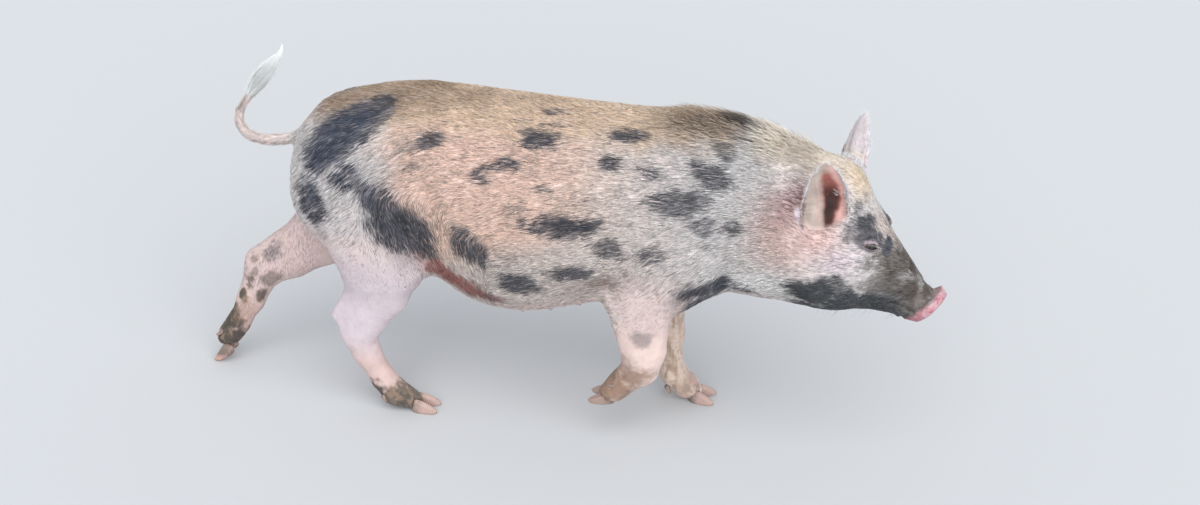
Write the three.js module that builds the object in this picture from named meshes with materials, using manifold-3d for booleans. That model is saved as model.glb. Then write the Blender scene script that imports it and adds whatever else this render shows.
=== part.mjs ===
// A still, life-size model of a young spotted pig in mid trot.
// Millimetres. X points to the snout, Y to the pig's left, Z up, with the soles of the planted feet at Z = 0.
// The flesh is one smooth body, blended from named masses and then parted by thin straight cuts.
import * as THREE from "three";
import { mergeVertices } from "three/addons/utils/BufferGeometryUtils.js";
import Module from "manifold-3d";

const wasm = await Module();
wasm.setup();

// ---- Driving dimensions ----
const gap = 0.4; // thin cut between two neighbouring pieces
const gridStep = 6; // sampling of the flesh before it is thinned out
const fleshTriangles = 4600;
const neckBendFrom = 215; // the neck turns to the right in front of this X
const neckBend = 0.0007; // sideways sweep of the neck, per mm
const headPivot = new THREE.Vector3(300, 0, 330);
const headYaw = THREE.MathUtils.degToRad(10); // the head is turned to the pig's right
const eyeRadius = 9.5;
const eyeCentre = [410, 28.5, 324.5];
const soleTrim = 0.8; // flesh stays this far above the ground

// Barrel of the body: height of the back, height of the belly and half width at each X.
const barrelStations = [
  { x: -272, top: 438, bottom: 232, half: 82 },
  { x: -215, top: 455, bottom: 220, half: 96 },
  { x: -163, top: 460, bottom: 202, half: 101 },
  { x: -110, top: 459, bottom: 165, half: 105 },
  { x: -50, top: 456, bottom: 154, half: 108 },
  { x: 20, top: 453, bottom: 170, half: 107 },
  { x: 90, top: 451, bottom: 192, half: 102 },
  { x: 160, top: 452, bottom: 203, half: 95 },
  { x: 215, top: 450, bottom: 211, half: 88 },
  { x: 240, top: 447, bottom: 217, half: 84 },
  { x: 268, top: 442.5, bottom: 211, half: 79.5 },
  { x: 315, top: 428, bottom: 212, half: 71 },
];
const rumpLength = 76;
const napeLength = 40;

// Legs as chains of joints: place, fore-and-aft radius, and how much narrower the leg is sideways.
const legs = {
  hind_right: [
    { at: [-232, -48, 306], r: 80, flat: 1.65 },
    { at: [-224, -60, 238], r: 65, flat: 1.85 },
    { at: [-227, -62, 187], r: 41, flat: 1.6 },
    { at: [-247, -60, 143], r: 29, flat: 1.35 },
    { at: [-260, -58, 116], r: 25, flat: 1.25 },
    { at: [-252, -55, 83], r: 19.5, flat: 1.15 },
    { at: [-232, -51, 42], r: 16.5, flat: 1.0 },
    { at: [-216, -50, 21], r: 16.5, flat: 0.84 },
    { at: [-190, -49.5, 11], r: 11, flat: 0.66 },
  ],
  hind_left: [
    { at: [-236, 48, 306], r: 80, flat: 1.65 },
    { at: [-288, 52, 248], r: 62, flat: 1.8 },
    { at: [-338, 46, 200], r: 46, flat: 1.6 },
    { at: [-384, 35, 167], r: 34, flat: 1.4 },
    { at: [-422, 27, 143], r: 26, flat: 1.25 },
    { at: [-442, 20, 96], r: 19, flat: 1.15 },
    { at: [-461, 16, 60], r: 16, flat: 1.0 },
    { at: [-473, 14, 43], r: 15.5, flat: 0.84 },
    { at: [-482, 13, 36], r: 11, flat: 0.68 },
  ],
  fore_right: [
    { at: [176, -50, 306], r: 62, flat: 1.55 },
    { at: [146, -62, 252], r: 52, flat: 1.6 },
    { at: [121, -68, 212], r: 43.5, flat: 1.55 },
    { at: [122.5, -65, 177], r: 35.5, flat: 1.4 },
    { at: [125, -62, 143], r: 30, flat: 1.25 },
    { at: [122, -60, 113], r: 24.5, flat: 1.15 },
    { at: [101.5, -59, 90.5], r: 18, flat: 1.04 },
    { at: [88, -58, 75], r: 16, flat: 0.82 },
    { at: [76, -58, 66], r: 11, flat: 0.66 },
  ],
  fore_left: [
    { at: [176, 50, 306], r: 62, flat: 1.55 },
    { at: [146, 62, 250], r: 50, flat: 1.6 },
    { at: [128, 66, 208], r: 37, flat: 1.5 },
    { at: [132, 63, 170], r: 26, flat: 1.25 },
    { at: [137, 59, 132], r: 21, flat: 1.12 },
    { at: [141, 55, 98], r: 19.5, flat: 1.08 },
    { at: [141, 52, 66], r: 15.5, flat: 1.0 },
    { at: [145, 51, 38], r: 17, flat: 0.88 },
    { at: [163, 50.5, 20], r: 16, flat: 0.8 },
    { at: [176, 50.5, 11.5], r: 11, flat: 0.68 },
  ],
};
// Heel bones stand out behind the hocks.
const heelBones = [
  { from: [-257, -62, 186], to: [-288, -59.5, 139.5], r: 11 },
  { from: [-384, 38, 190], to: [-434, 27, 163], r: 11.5 },
];

// Feet: the middle of the sole between the two main claws and the turn of the toes (0 is level, 90 points down),
// then the same for the two dew claws. A claw that stands on its tip is trimmed flat by the ground.
const feet = {
  hind_right: { at: [-178, -49.5, 0], pitch: 0, splay: 3, dewAt: [-230, -50.5, 17], dewPitch: 52 },
  hind_left: { at: [-487, 13, 20], pitch: 122, splay: 4, trim: true, dewAt: [-485, 15, 50], dewPitch: 138 },
  fore_right: { at: [72, -58, 69], pitch: 156, splay: 8, dewAt: [88, -58, 90], dewPitch: 172 },
  fore_left: { at: [183, 50.5, 0], pitch: 0, splay: 12, dewAt: [139, 51, 17], dewPitch: 52 },
};
const claw = { length: 36, width: 16, height: 21, spread: 9.5 };
const dewClaw = { length: 15, width: 10, height: 8, spread: 13 };

// Masses of the trunk, given on the left side and mirrored to the right.
const trunkMasses = [
  { at: [-238, 44, 325], radii: [88, 50, 96], tilt: -12, soft: 34 }, // ham
  { at: [-302, 30, 316], radii: [41, 44, 73], tilt: 6, soft: 26 }, // buttock
  { at: [166, 43, 318], radii: [68, 54, 98], tilt: 14, soft: 30 }, // shoulder blade
  { at: [204, 24, 274], radii: [50, 48, 48], tilt: 20, soft: 24 }, // breast
];
// Masses of the head, in the straight head's own frame.
const headMasses = [
  { at: [344, 0, 352], radii: [57, 57, 64], tilt: 28, soft: 26 }, // skull
  { at: [354, 42, 372], radii: [24, 20, 28], tilt: 10, soft: 16 }, // root of the ear
  { at: [382, 27, 343], radii: [24, 18, 20], tilt: 45, soft: 16 }, // brow
  { at: [352, 34, 290], radii: [64, 32, 60], tilt: 16, soft: 22 }, // cheek
  { at: [366, 26, 260], radii: [46, 30, 32], tilt: 2, soft: 24 }, // jowl
];
const headLimbs = [
  { from: [387, 0, 324], to: [465, 0, 245], ra: 38, rb: 22.5, flat: 1.0, soft: 16 }, // bridge of the nose
  { from: [385, 0, 284], to: [459, 0, 238], ra: 42, rb: 22.5, flat: 0.96, soft: 16 }, // sides of the muzzle
  { from: [372, 0, 250], to: [450, 0, 238], ra: 37.5, rb: 14.5, flat: 0.95, soft: 16 }, // lower jaw
];
const snoutDisc = { at: [483, 0, 238.5], pitch: 42, tall: 27.5, wide: 29, thick: 7.5, edge: 4 };
const nostril = { side: 11, up: 1.5, wide: 4.6, tall: 6.2, depth: 13 };
const tailStub = { from: [-308, 0, 378], to: [-356, 0, 366], ra: 18, rb: 9.2 };

// ---- Distance functions for the masses ----
const blend = (a, b, soft) => {
  const h = Math.max(soft - Math.abs(a - b), 0) / soft;
  return Math.min(a, b) - (h * h * soft) / 4;
};

function ellipsoid(dx, dy, dz, rx, ry, rz) {
  const level = Math.hypot(dx / rx, dy / ry, dz / rz);
  const slope = Math.hypot(dx / (rx * rx), dy / (ry * ry), dz / (rz * rz));
  return slope < 1e-9 ? -Math.min(rx, ry, rz) : (level * (level - 1)) / slope;
}

// An ellipsoid pitched nose-down by its tilt in degrees.
function mass({ at, radii, tilt }) {
  const c = Math.cos(THREE.MathUtils.degToRad(tilt));
  const s = Math.sin(THREE.MathUtils.degToRad(tilt));
  return (x, y, z) => {
    const dx = x - at[0];
    const dz = z - at[2];
    return ellipsoid(dx * c - dz * s, y - at[1], dx * s + dz * c, ...radii);
  };
}

// A tapered limb between two places, thinned sideways by the flat values at its ends.
function limb(from, to, ra, rb, flatA = 1, flatB = flatA) {
  const d = [0, 1, 2].map((i) => to[i] - from[i]);
  const span = d[0] * d[0] + d[1] * d[1] + d[2] * d[2];
  return (x, y, z) => {
    const px = x - from[0];
    const py = y - from[1];
    const pz = z - from[2];
    const t = Math.min(1, Math.max(0, (px * d[0] + py * d[1] + pz * d[2]) / span));
    const ox = px - t * d[0];
    const oy = py - t * d[1];
    const oz = pz - t * d[2];
    const flat = flatA + (flatB - flatA) * t;
    const reach = Math.hypot(ox, oy * flat, oz);
    const radius = ra + (rb - ra) * t;
    if (reach < 1e-6) return -radius;
    return ((reach - radius) * reach) / Math.hypot(ox, oy * flat * flat, oz);
  };
}

// Smooth value of a station property at x, by cubic interpolation.
function station(x, key) {
  const s = barrelStations;
  const last = s.length - 1;
  if (x <= s[0].x) return s[0][key];
  if (x >= s[last].x) return s[last][key];
  let i = 0;
  while (s[i + 1].x < x) i++;
  const slope = (k) => {
    const a = s[Math.max(k - 1, 0)];
    const b = s[Math.min(k + 1, last)];
    return (b[key] - a[key]) / (b.x - a.x);
  };
  const w = s[i + 1].x - s[i].x;
  const t = (x - s[i].x) / w;
  const t2 = t * t;
  const t3 = t2 * t;
  return (
    (2 * t3 - 3 * t2 + 1) * s[i][key] +
    (t3 - 2 * t2 + t) * w * slope(i) +
    (3 * t2 - 2 * t3) * s[i + 1][key] +
    (t3 - t2) * w * slope(i + 1)
  );
}

function barrel(x, y, z) {
  const top = station(x, "top");
  const bottom = station(x, "bottom");
  const half = station(x, "half");
  const tall = (top - bottom) / 2;
  const first = barrelStations[0].x;
  const last = barrelStations[barrelStations.length - 1].x;
  const past = x < first ? x - first : Math.max(0, x - last);
  const cap = x < first ? rumpLength : napeLength;
  const side = y + neckBend * Math.max(0, x - neckBendFrom) ** 2;
  return ellipsoid(past, side, z - (top + bottom) / 2, cap, half, tall);
}

function disc(x, y, z) {
  const c = Math.cos(THREE.MathUtils.degToRad(snoutDisc.pitch));
  const s = Math.sin(THREE.MathUtils.degToRad(snoutDisc.pitch));
  const dx = x - snoutDisc.at[0];
  const dz = z - snoutDisc.at[2];
  const out = dx * c - dz * s;
  const up = dx * s + dz * c;
  const ring = (Math.hypot(y / snoutDisc.wide, up / snoutDisc.tall) - 1) * snoutDisc.tall;
  const a = ring + snoutDisc.edge;
  const b = Math.abs(out) - snoutDisc.thick + snoutDisc.edge;
  return Math.min(Math.max(a, b), 0) + Math.hypot(Math.max(a, 0), Math.max(b, 0)) - snoutDisc.edge;
}

const trunkFields = trunkMasses.map((m) => ({ f: mass(m), soft: m.soft }));
const headFields = [
  ...headMasses.map((m) => ({ f: mass(m), soft: m.soft })),
  ...headLimbs.map((m) => ({ f: limb(m.from, m.to, m.ra, m.rb, m.flat), soft: m.soft })),
  { f: disc, soft: 7 },
];
const legFields = Object.values(legs).map((chain) =>
  chain.slice(1).map((b, i) => {
    const a = chain[i];
    return limb(a.at, b.at, a.r, b.r, a.flat, b.flat);
  }),
);
const heelFields = heelBones.map((h) => limb(h.from, h.to, h.r * 1.3, h.r, 1.1));
const stubField = limb(tailStub.from, tailStub.to, tailStub.ra, tailStub.rb);
const yawCos = Math.cos(headYaw);
const yawSin = Math.sin(headYaw);

function flesh(x, y, z) {
  const side = Math.abs(y);
  let d = barrel(x, y, z);
  for (const m of trunkFields) d = blend(d, m.f(x, side, z), m.soft);
  const hx = headPivot.x + (x - headPivot.x) * yawCos - y * yawSin;
  const hy = Math.abs((x - headPivot.x) * yawSin + y * yawCos);
  if (x > 200) {
    let head = Infinity;
    for (const m of headFields) head = head === Infinity ? m.f(hx, hy, z) : blend(head, m.f(hx, hy, z), m.soft);
    d = blend(d, head, 26);
  }
  for (const chain of legFields) {
    let leg = Infinity;
    for (const f of chain) leg = leg === Infinity ? f(x, y, z) : blend(leg, f(x, y, z), 9);
    d = blend(d, leg, 22);
  }
  for (const f of heelFields) d = blend(d, f(x, y, z), 14);
  return blend(d, stubField(x, y, z), 14);
}

// ---- Meshing: surface nets on a grid, each vertex then drawn on to the surface ----
function netOf(field, box, step) {
  const lo = box.min.toArray();
  const n = box.getSize(new THREE.Vector3()).toArray().map((v) => Math.ceil(v / step) + 1);
  const at = (i, j, k) => (k * n[1] + j) * n[0] + i;
  const value = new Float32Array(n[0] * n[1] * n[2]);
  for (let k = 0; k < n[2]; k++)
    for (let j = 0; j < n[1]; j++)
      for (let i = 0; i < n[0]; i++)
        value[at(i, j, k)] = field(lo[0] + i * step, lo[1] + j * step, lo[2] + k * step);
  const cellVertex = new Map();
  const points = [];
  const edges = [];
  for (let c = 0; c < 8; c++)
    for (let axis = 0; axis < 3; axis++) if (!(c & (1 << axis))) edges.push([c, c | (1 << axis)]);
  const corner = (c, i, j, k) => at(i + (c & 1), j + ((c >> 1) & 1), k + (c >> 2));
  for (let k = 0; k < n[2] - 1; k++)
    for (let j = 0; j < n[1] - 1; j++)
      for (let i = 0; i < n[0] - 1; i++) {
        const sum = [0, 0, 0];
        let crossings = 0;
        for (const [a, b] of edges) {
          const va = value[corner(a, i, j, k)];
          const vb = value[corner(b, i, j, k)];
          if (va < 0 === vb < 0) continue;
          const t = va / (va - vb);
          for (let axis = 0; axis < 3; axis++) {
            const ca = (a >> axis) & 1;
            const cb = (b >> axis) & 1;
            sum[axis] += ca + (cb - ca) * t;
          }
          crossings++;
        }
        if (!crossings) continue;
        cellVertex.set(at(i, j, k), points.length);
        points.push([i, j, k].map((v, axis) => lo[axis] + (v + sum[axis] / crossings) * step));
      }
  const triangles = [];
  const quad = (inside, a, b, c, d) => {
    const [p, q, r, s] = (inside ? [a, b, c, d] : [d, c, b, a]).map((v) => cellVertex.get(v));
    triangles.push([p, q, r], [p, r, s]);
  };
  for (let k = 1; k < n[2] - 1; k++)
    for (let j = 1; j < n[1] - 1; j++)
      for (let i = 1; i < n[0] - 1; i++) {
        const here = value[at(i, j, k)] < 0;
        if (here !== value[at(i + 1, j, k)] < 0)
          quad(here, at(i, j - 1, k - 1), at(i, j, k - 1), at(i, j, k), at(i, j - 1, k));
        if (here !== value[at(i, j + 1, k)] < 0)
          quad(here, at(i - 1, j, k - 1), at(i - 1, j, k), at(i, j, k), at(i, j, k - 1));
        if (here !== value[at(i, j, k + 1)] < 0)
          quad(here, at(i - 1, j - 1, k), at(i, j - 1, k), at(i, j, k), at(i - 1, j, k));
      }
  for (const p of points)
    for (let round = 0; round < 3; round++) {
      const d = field(...p);
      const e = 0.5;
      const slope = [0, 1, 2].map((axis) => {
        const q = [...p];
        q[axis] += e;
        return (field(...q) - d) / e;
      });
      const size = slope[0] ** 2 + slope[1] ** 2 + slope[2] ** 2;
      const move = Math.max(-step / 3, Math.min(step / 3, d / Math.sqrt(size || 1))) / Math.sqrt(size || 1);
      for (let axis = 0; axis < 3; axis++) p[axis] -= slope[axis] * move;
    }
  return { points, triangles };
}

// ---- Thinning: collapses the edges that matter least to the shape, by quadric error ----
function thin({ points, triangles }, target) {
  const quadric = points.map(() => new Float64Array(10));
  const around = points.map(() => new Set());
  const faces = triangles.map((t) => [...t]);
  const plane = ([a, b, c]) => {
    const [p, q, r] = [points[a], points[b], points[c]];
    const u = [q[0] - p[0], q[1] - p[1], q[2] - p[2]];
    const v = [r[0] - p[0], r[1] - p[1], r[2] - p[2]];
    const m = [u[1] * v[2] - u[2] * v[1], u[2] * v[0] - u[0] * v[2], u[0] * v[1] - u[1] * v[0]];
    const size = Math.hypot(...m) || 1e-12;
    return [m[0] / size, m[1] / size, m[2] / size, -(m[0] * p[0] + m[1] * p[1] + m[2] * p[2]) / size, size];
  };
  faces.forEach((f, id) => {
    const [a, b, c, d, size] = plane(f);
    for (const v of f) {
      around[v].add(id);
      [a * a, a * b, a * c, a * d, b * b, b * c, b * d, c * c, c * d, d * d].forEach((q, i) => {
        quadric[v][i] += q * size;
      });
    }
  });
  const error = (q, [x, y, z]) =>
    q[0] * x * x + 2 * q[1] * x * y + 2 * q[2] * x * z + 2 * q[3] * x + q[4] * y * y +
    2 * q[5] * y * z + 2 * q[6] * y + q[7] * z * z + 2 * q[8] * z + q[9];
  const best = (a, b) => {
    const q = quadric[a].map((v, i) => v + quadric[b][i]);
    const middle = points[a].map((v, i) => (v + points[b][i]) / 2);
    const det =
      q[0] * (q[4] * q[7] - q[5] * q[5]) - q[1] * (q[1] * q[7] - q[5] * q[2]) + q[2] * (q[1] * q[5] - q[4] * q[2]);
    let place = middle;
    if (Math.abs(det) > 1e-4 * (q[0] + q[4] + q[7]) ** 3) {
      const [r, s, t] = [-q[3], -q[6], -q[8]];
      const solved = [
        (r * (q[4] * q[7] - q[5] * q[5]) - q[1] * (s * q[7] - q[5] * t) + q[2] * (s * q[5] - q[4] * t)) / det,
        (q[0] * (s * q[7] - q[5] * t) - r * (q[1] * q[7] - q[5] * q[2]) + q[2] * (q[1] * t - s * q[2])) / det,
        (q[0] * (q[4] * t - s * q[5]) - q[1] * (q[1] * t - s * q[2]) + r * (q[1] * q[5] - q[4] * q[2])) / det,
      ];
      const reach = Math.hypot(...points[a].map((v, i) => v - points[b][i]));
      if (Math.hypot(...solved.map((v, i) => v - middle[i])) < reach) place = solved;
    }
    const length = Math.hypot(...points[a].map((v, i) => v - points[b][i]));
    return { cost: Math.max(0, error(q, place)) + 2e-3 * length ** 3, place, q };
  };
  const heap = [];
  const stamp = points.map(() => 0);
  const less = (i, j) => heap[i].cost < heap[j].cost;
  const swap = (i, j) => ([heap[i], heap[j]] = [heap[j], heap[i]]);
  const push = (a, b) => {
    heap.push({ a, b, sa: stamp[a], sb: stamp[b], ...best(a, b) });
    for (let i = heap.length - 1; i > 0 && less(i, (i - 1) >> 1); i = (i - 1) >> 1) swap(i, (i - 1) >> 1);
  };
  const pop = () => {
    swap(0, heap.length - 1);
    const top = heap.pop();
    for (let i = 0; ; ) {
      const l = 2 * i + 1;
      const low = l + 1 < heap.length && less(l + 1, l) ? l + 1 : l;
      if (low >= heap.length || !less(low, i)) break;
      swap(i, low);
      i = low;
    }
    return top;
  };
  const ring = (v) => new Set([...around[v]].flatMap((id) => faces[id]).filter((w) => w !== v));
  points.forEach((_, a) => ring(a).forEach((b) => a < b && push(a, b)));
  let alive = faces.length;
  while (alive > target && heap.length) {
    const { a, b, sa, sb, place, q } = pop();
    if (stamp[a] !== sa || stamp[b] !== sb) continue;
    const shared = [...around[a]].filter((id) => around[b].has(id));
    const common = [...ring(a)].filter((v) => ring(b).has(v));
    if (shared.length !== 2 || common.length !== 2) continue;
    const turned = [...around[a], ...around[b]].some((id) => {
      if (shared.includes(id)) return false;
      const before = plane(faces[id]);
      const [pa, pb] = [points[a], points[b]];
      points[a] = points[b] = place;
      const after = plane(faces[id]);
      [points[a], points[b]] = [pa, pb];
      return before[0] * after[0] + before[1] * after[1] + before[2] * after[2] < 0.35 || after[4] < 1e-3;
    });
    if (turned) continue;
    points[a] = place;
    quadric[a] = q;
    for (const id of shared) {
      faces[id].forEach((v) => around[v].delete(id));
      faces[id] = null;
      alive--;
    }
    for (const id of around[b]) {
      faces[id] = faces[id].map((v) => (v === b ? a : v));
      around[a].add(id);
    }
    stamp[a]++;
    stamp[b] = -1;
    ring(a).forEach((v) => push(a, v));
  }
  return { points, triangles: faces.filter(Boolean) };
}

// ---- Solids ----
function geometryOf({ points, triangles }) {
  const geometry = new THREE.BufferGeometry();
  geometry.setAttribute("position", new THREE.Float32BufferAttribute(points.flat(), 3));
  geometry.setIndex(triangles.flat());
  return geometry;
}

function solidOf(geometry) {
  const bare = geometry.clone();
  bare.deleteAttribute("normal");
  bare.deleteAttribute("uv");
  const merged = mergeVertices(bare, 1e-3);
  const keep = [];
  const index = merged.index.array;
  for (let i = 0; i < index.length; i += 3) {
    const [a, b, c] = [index[i], index[i + 1], index[i + 2]];
    if (a !== b && b !== c && c !== a) keep.push(a, b, c);
  }
  const solid = new wasm.Manifold(
    new wasm.Mesh({
      numProp: 3,
      vertProperties: merged.attributes.position.array,
      triVerts: new Uint32Array(keep),
    }),
  );
  if (solid.volume() < 0) throw new Error("a solid is inside out");
  return solid;
}

function geometryFrom(solid) {
  const mesh = solid.getMesh();
  const geometry = new THREE.BufferGeometry();
  const places = new Float32Array(mesh.numVert * 3);
  for (let i = 0; i < mesh.numVert; i++)
    for (let axis = 0; axis < 3; axis++) places[3 * i + axis] = mesh.vertProperties[i * mesh.numProp + axis];
  geometry.setAttribute("position", new THREE.BufferAttribute(places, 3));
  geometry.setIndex(new THREE.BufferAttribute(mesh.triVerts, 1));
  geometry.computeVertexNormals();
  return geometry;
}

// A closed skin over a row of rings that have equal counts of points.
function loft(rings) {
  const count = rings[0].length;
  const points = rings.flat().map((p) => p.toArray());
  const triangles = [];
  for (let r = 0; r < rings.length - 1; r++)
    for (let i = 0; i < count; i++) {
      const [a, b] = [r * count + i, r * count + ((i + 1) % count)];
      triangles.push([a, b, b + count], [a, b + count, a + count]);
    }
  const close = (r, turn) => {
    const middle = rings[r].reduce((sum, p) => sum.add(p), new THREE.Vector3()).divideScalar(count);
    const tip = points.push(middle.toArray()) - 1;
    for (let i = 0; i < count; i++) {
      const [a, b] = [r * count + i, r * count + ((i + 1) % count)];
      triangles.push(turn ? [a, tip, b] : [a, b, tip]);
    }
  };
  close(0, true);
  close(rings.length - 1, false);
  return geometryOf({ points, triangles });
}

// A place with a pitch about Y, then a yaw about Z, in degrees.
function frameAt(place, pitch = 0, yaw = 0) {
  const turn = new THREE.Euler(0, THREE.MathUtils.degToRad(pitch), THREE.MathUtils.degToRad(yaw), "ZYX");
  return new THREE.Matrix4().makeRotationFromEuler(turn).setPosition(...place);
}

// A box given by its low and high corner in a frame.
function cutter(low, high, frame = new THREE.Matrix4()) {
  const geometry = new THREE.BoxGeometry(...high.map((v, i) => v - low[i]));
  geometry.translate(...high.map((v, i) => (v + low[i]) / 2));
  return solidOf(geometry.applyMatrix4(frame));
}

// Parts a solid: what lies in the box, and what is left once the box and a thin cut round it are gone.
function part(solid, low, high, frame) {
  const grown = cutter(low.map((v) => v - gap), high.map((v) => v + gap), frame);
  return [solid.intersect(cutter(low, high, frame)), solid.subtract(grown)];
}

// ---- Claws, ears, eyes and tail ----
function clawGeometry({ length, width, height }, grow = 0) {
  const sections = 6;
  const around = 8;
  const rings = [];
  for (let s = 0; s <= sections; s++) {
    const t = s / sections;
    const round = Math.sqrt(1 - (2 * t - 1) ** 4 * 0.93);
    const half = (width / 2) * round * (1 - 0.28 * t) + grow;
    const tall = height * (1 - 0.62 * t ** 1.4) * (0.55 + 0.45 * round) + grow;
    const x = length * (t - 0.4) + (2 * t - 1) * grow;
    const ring = [];
    for (let i = 0; i < around; i++) {
      const a = (2 * Math.PI * i) / around;
      const up = Math.sin(a);
      ring.push(new THREE.Vector3(x, half * Math.cos(a), up > 1e-6 ? tall * up ** 0.8 : -grow));
    }
    rings.push(ring);
  }
  return loft(rings);
}

const colours = {
  skin: 0xe9d3bf,
  claw: 0xcfa58f,
  eye: 0x2a2626,
  tuft: 0xe8e8e2,
};
const finish = (colour, roughness = 0.85) => new THREE.MeshStandardMaterial({ color: colour, roughness, metalness: 0 });
const materials = {
  skin: finish(colours.skin),
  claw: finish(colours.claw, 0.6),
  eye: finish(colours.eye, 0.15),
  tuft: finish(colours.tuft),
};

const pig = new THREE.Group();
const addMesh = (name, geometry, material, parent = pig) => {
  const mesh = new THREE.Mesh(geometry, material);
  mesh.name = name;
  parent.add(mesh);
  return mesh;
};

// Each foot has two main claws and, higher up at the back, two dew claws.
const clawCuts = [];
const ground = cutter([-600, -200, -60], [600, 200, 0]);
for (const [leg, foot] of Object.entries(feet)) {
  const outer = leg.endsWith("left") ? 1 : -1;
  for (const [sideName, side] of [["outer", outer], ["inner", -outer]])
    for (const [kind, shape, at, pitch] of [
      ["claw", claw, foot.at, foot.pitch],
      ["dew_claw", dewClaw, foot.dewAt, foot.dewPitch],
    ]) {
      const place = new THREE.Object3D();
      place.position.set(at[0], at[1] + side * shape.spread, at[2]);
      place.rotation.set(0, THREE.MathUtils.degToRad(pitch), side * THREE.MathUtils.degToRad(foot.splay));
      place.updateMatrixWorld();
      let solid = solidOf(clawGeometry(shape).applyMatrix4(place.matrixWorld));
      if (foot.trim) solid = solid.subtract(ground);
      addMesh(`${kind}_${leg}_${sideName}`, geometryFrom(solid), materials.claw);
      clawCuts.push(clawGeometry(shape, gap).applyMatrix4(place.matrixWorld));
    }
}

// An ear is a bowed leaf whose hollow faces out and forward. Its base is joined to the head.
const ear = { length: 125, thick: 5.5, lean: 12.5 };
const earRoots = {
  left: { at: [357, 53, 326], forward: 6, facing: 52, width: 58 },
  right: { at: [361, 57, 326], forward: 2, facing: 60, width: 66 },
};
const earHollow = { at: [5, 0, 44], radii: [14, 20, 36] };
const earRows = 11;
const earColumns = 6;

function leafGeometry(width) {
  const rings = [];
  for (let r = 0; r <= earRows; r++) {
    const u = r / earRows;
    const half = (width / 2) * Math.sqrt(Math.max(0.004, Math.sin(Math.PI * (0.1 + 0.9 * u)) ** 1.15)) * (1 - 0.12 * u);
    const bow = 0.62 * half * (1 - 0.55 * u);
    const wall = (ear.thick / 2) * (1 - 0.5 * u);
    const ring = [];
    const add = (v, offset) =>
      ring.push(
        new THREE.Vector3(
          -bow * (1 - v * v) + offset * Math.sqrt(Math.max(0.12, 1 - v ** 4)) - 10 * u * u,
          half * Math.sin((v * Math.PI) / 2),
          u * ear.length,
        ),
      );
    for (let c = 0; c <= earColumns; c++) add(-1 + (2 * c) / earColumns, wall);
    for (let c = earColumns; c >= 0; c--) add(-1 + (2 * c) / earColumns, -wall);
    rings.push(ring);
  }
  return loft(rings);
}

// The frame of an ear on the head; side is 1 for the left ear and -1 for the right one.
function earFrame(side, { at, forward, facing }) {
  const turn = (axis, degrees) => new THREE.Matrix4()[`makeRotation${axis}`](THREE.MathUtils.degToRad(degrees));
  return new THREE.Matrix4()
    .makeTranslation(at[0] - headPivot.x, side * at[1], at[2] - headPivot.z)
    .multiply(turn("X", -side * ear.lean))
    .multiply(turn("Y", forward))
    .multiply(turn("Z", side * facing))
    .premultiply(head.matrixWorld);
}

const head = new THREE.Group();
head.position.copy(headPivot);
head.rotation.z = -headYaw;
pig.add(head);
head.updateWorldMatrix(true, false);
const ears = {};
const headCuts = [];
for (const [name, side] of [["left", 1], ["right", -1]]) {
  ears[name] = earFrame(side, earRoots[name]);
  const hollow = new THREE.SphereGeometry(1, 12, 10).scale(...earHollow.radii).translate(...earHollow.at);
  headCuts.push(hollow.applyMatrix4(ears[name]));
  const ball = addMesh(`eye_${name}`, new THREE.SphereGeometry(eyeRadius, 12, 8), materials.eye, head);
  ball.position.set(eyeCentre[0] - headPivot.x, side * eyeCentre[1], eyeCentre[2] - headPivot.z);
  ball.updateWorldMatrix(true, false);
  headCuts.push(new THREE.SphereGeometry(eyeRadius + gap, 12, 8).applyMatrix4(ball.matrixWorld));
  const hole = new THREE.SphereGeometry(1, 12, 8);
  hole.scale(nostril.depth, nostril.wide, nostril.tall);
  hole.translate(snoutDisc.thick, side * nostril.side, nostril.up);
  hole.rotateY(THREE.MathUtils.degToRad(snoutDisc.pitch));
  hole.translate(snoutDisc.at[0] - headPivot.x, 0, snoutDisc.at[2] - headPivot.z);
  headCuts.push(hole.applyMatrix4(head.matrixWorld));
}

// The tail: a tapering rope along its curve, and the brush of long hair that ends it.
const tailCurve = new THREE.CatmullRomCurve3(
  [
    [-355, 0, 366.2], [-371, -0.5, 362.3], [-393, -2, 361], [-414, -2, 366], [-423.5, -2, 380],
    [-423, -2, 396], [-414, -2, 413], [-402, -2, 431], [-388, -2, 451], [-372, -2, 471], [-359, -2, 487], [-356, -2, 502],
  ].map((p) => new THREE.Vector3(...p)),
);
const tailRadius = (t) => 9.2 - 2.6 * t / 0.6;
const brushRadius = (s) => 6.6 + 10.5 * Math.sin(Math.PI * Math.min(1, s * 1.12) ** 0.9) * (1 - 0.35 * s) - 5.6 * s;
function alongTail(from, to, steps, radius, wide = 1) {
  const frames = tailCurve.computeFrenetFrames(200);
  const rings = [];
  for (let s = 0; s <= steps; s++) {
    const t = from + ((to - from) * s) / steps;
    const at = tailCurve.getPointAt(t);
    const f = Math.round(t * 200);
    const ring = [];
    for (let i = 0; i < 10; i++) {
      const a = (2 * Math.PI * i) / 10;
      ring.push(
        at
          .clone()
          .addScaledVector(frames.normals[f], radius(t, s / steps) * Math.cos(a))
          .addScaledVector(frames.binormals[f], (radius(t, s / steps) / wide) * Math.sin(a)),
      );
    }
    rings.push(ring);
  }
  return loft(rings);
}

// ---- Putting the flesh together and parting it ----
const bounds = new THREE.Box3(new THREE.Vector3(-530, -140, -12), new THREE.Vector3(525, 140, 485));
let body = solidOf(geometryOf(thin(netOf(flesh, bounds, gridStep), fleshTriangles)));
body = body.subtract(cutter([-600, -200, -60], [600, 200, soleTrim]));
for (const [name, frame] of Object.entries(ears))
  body = body.add(solidOf(leafGeometry(earRoots[name].width).applyMatrix4(frame)));
for (const cut of [...clawCuts, ...headCuts]) body = body.subtract(solidOf(cut));

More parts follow.
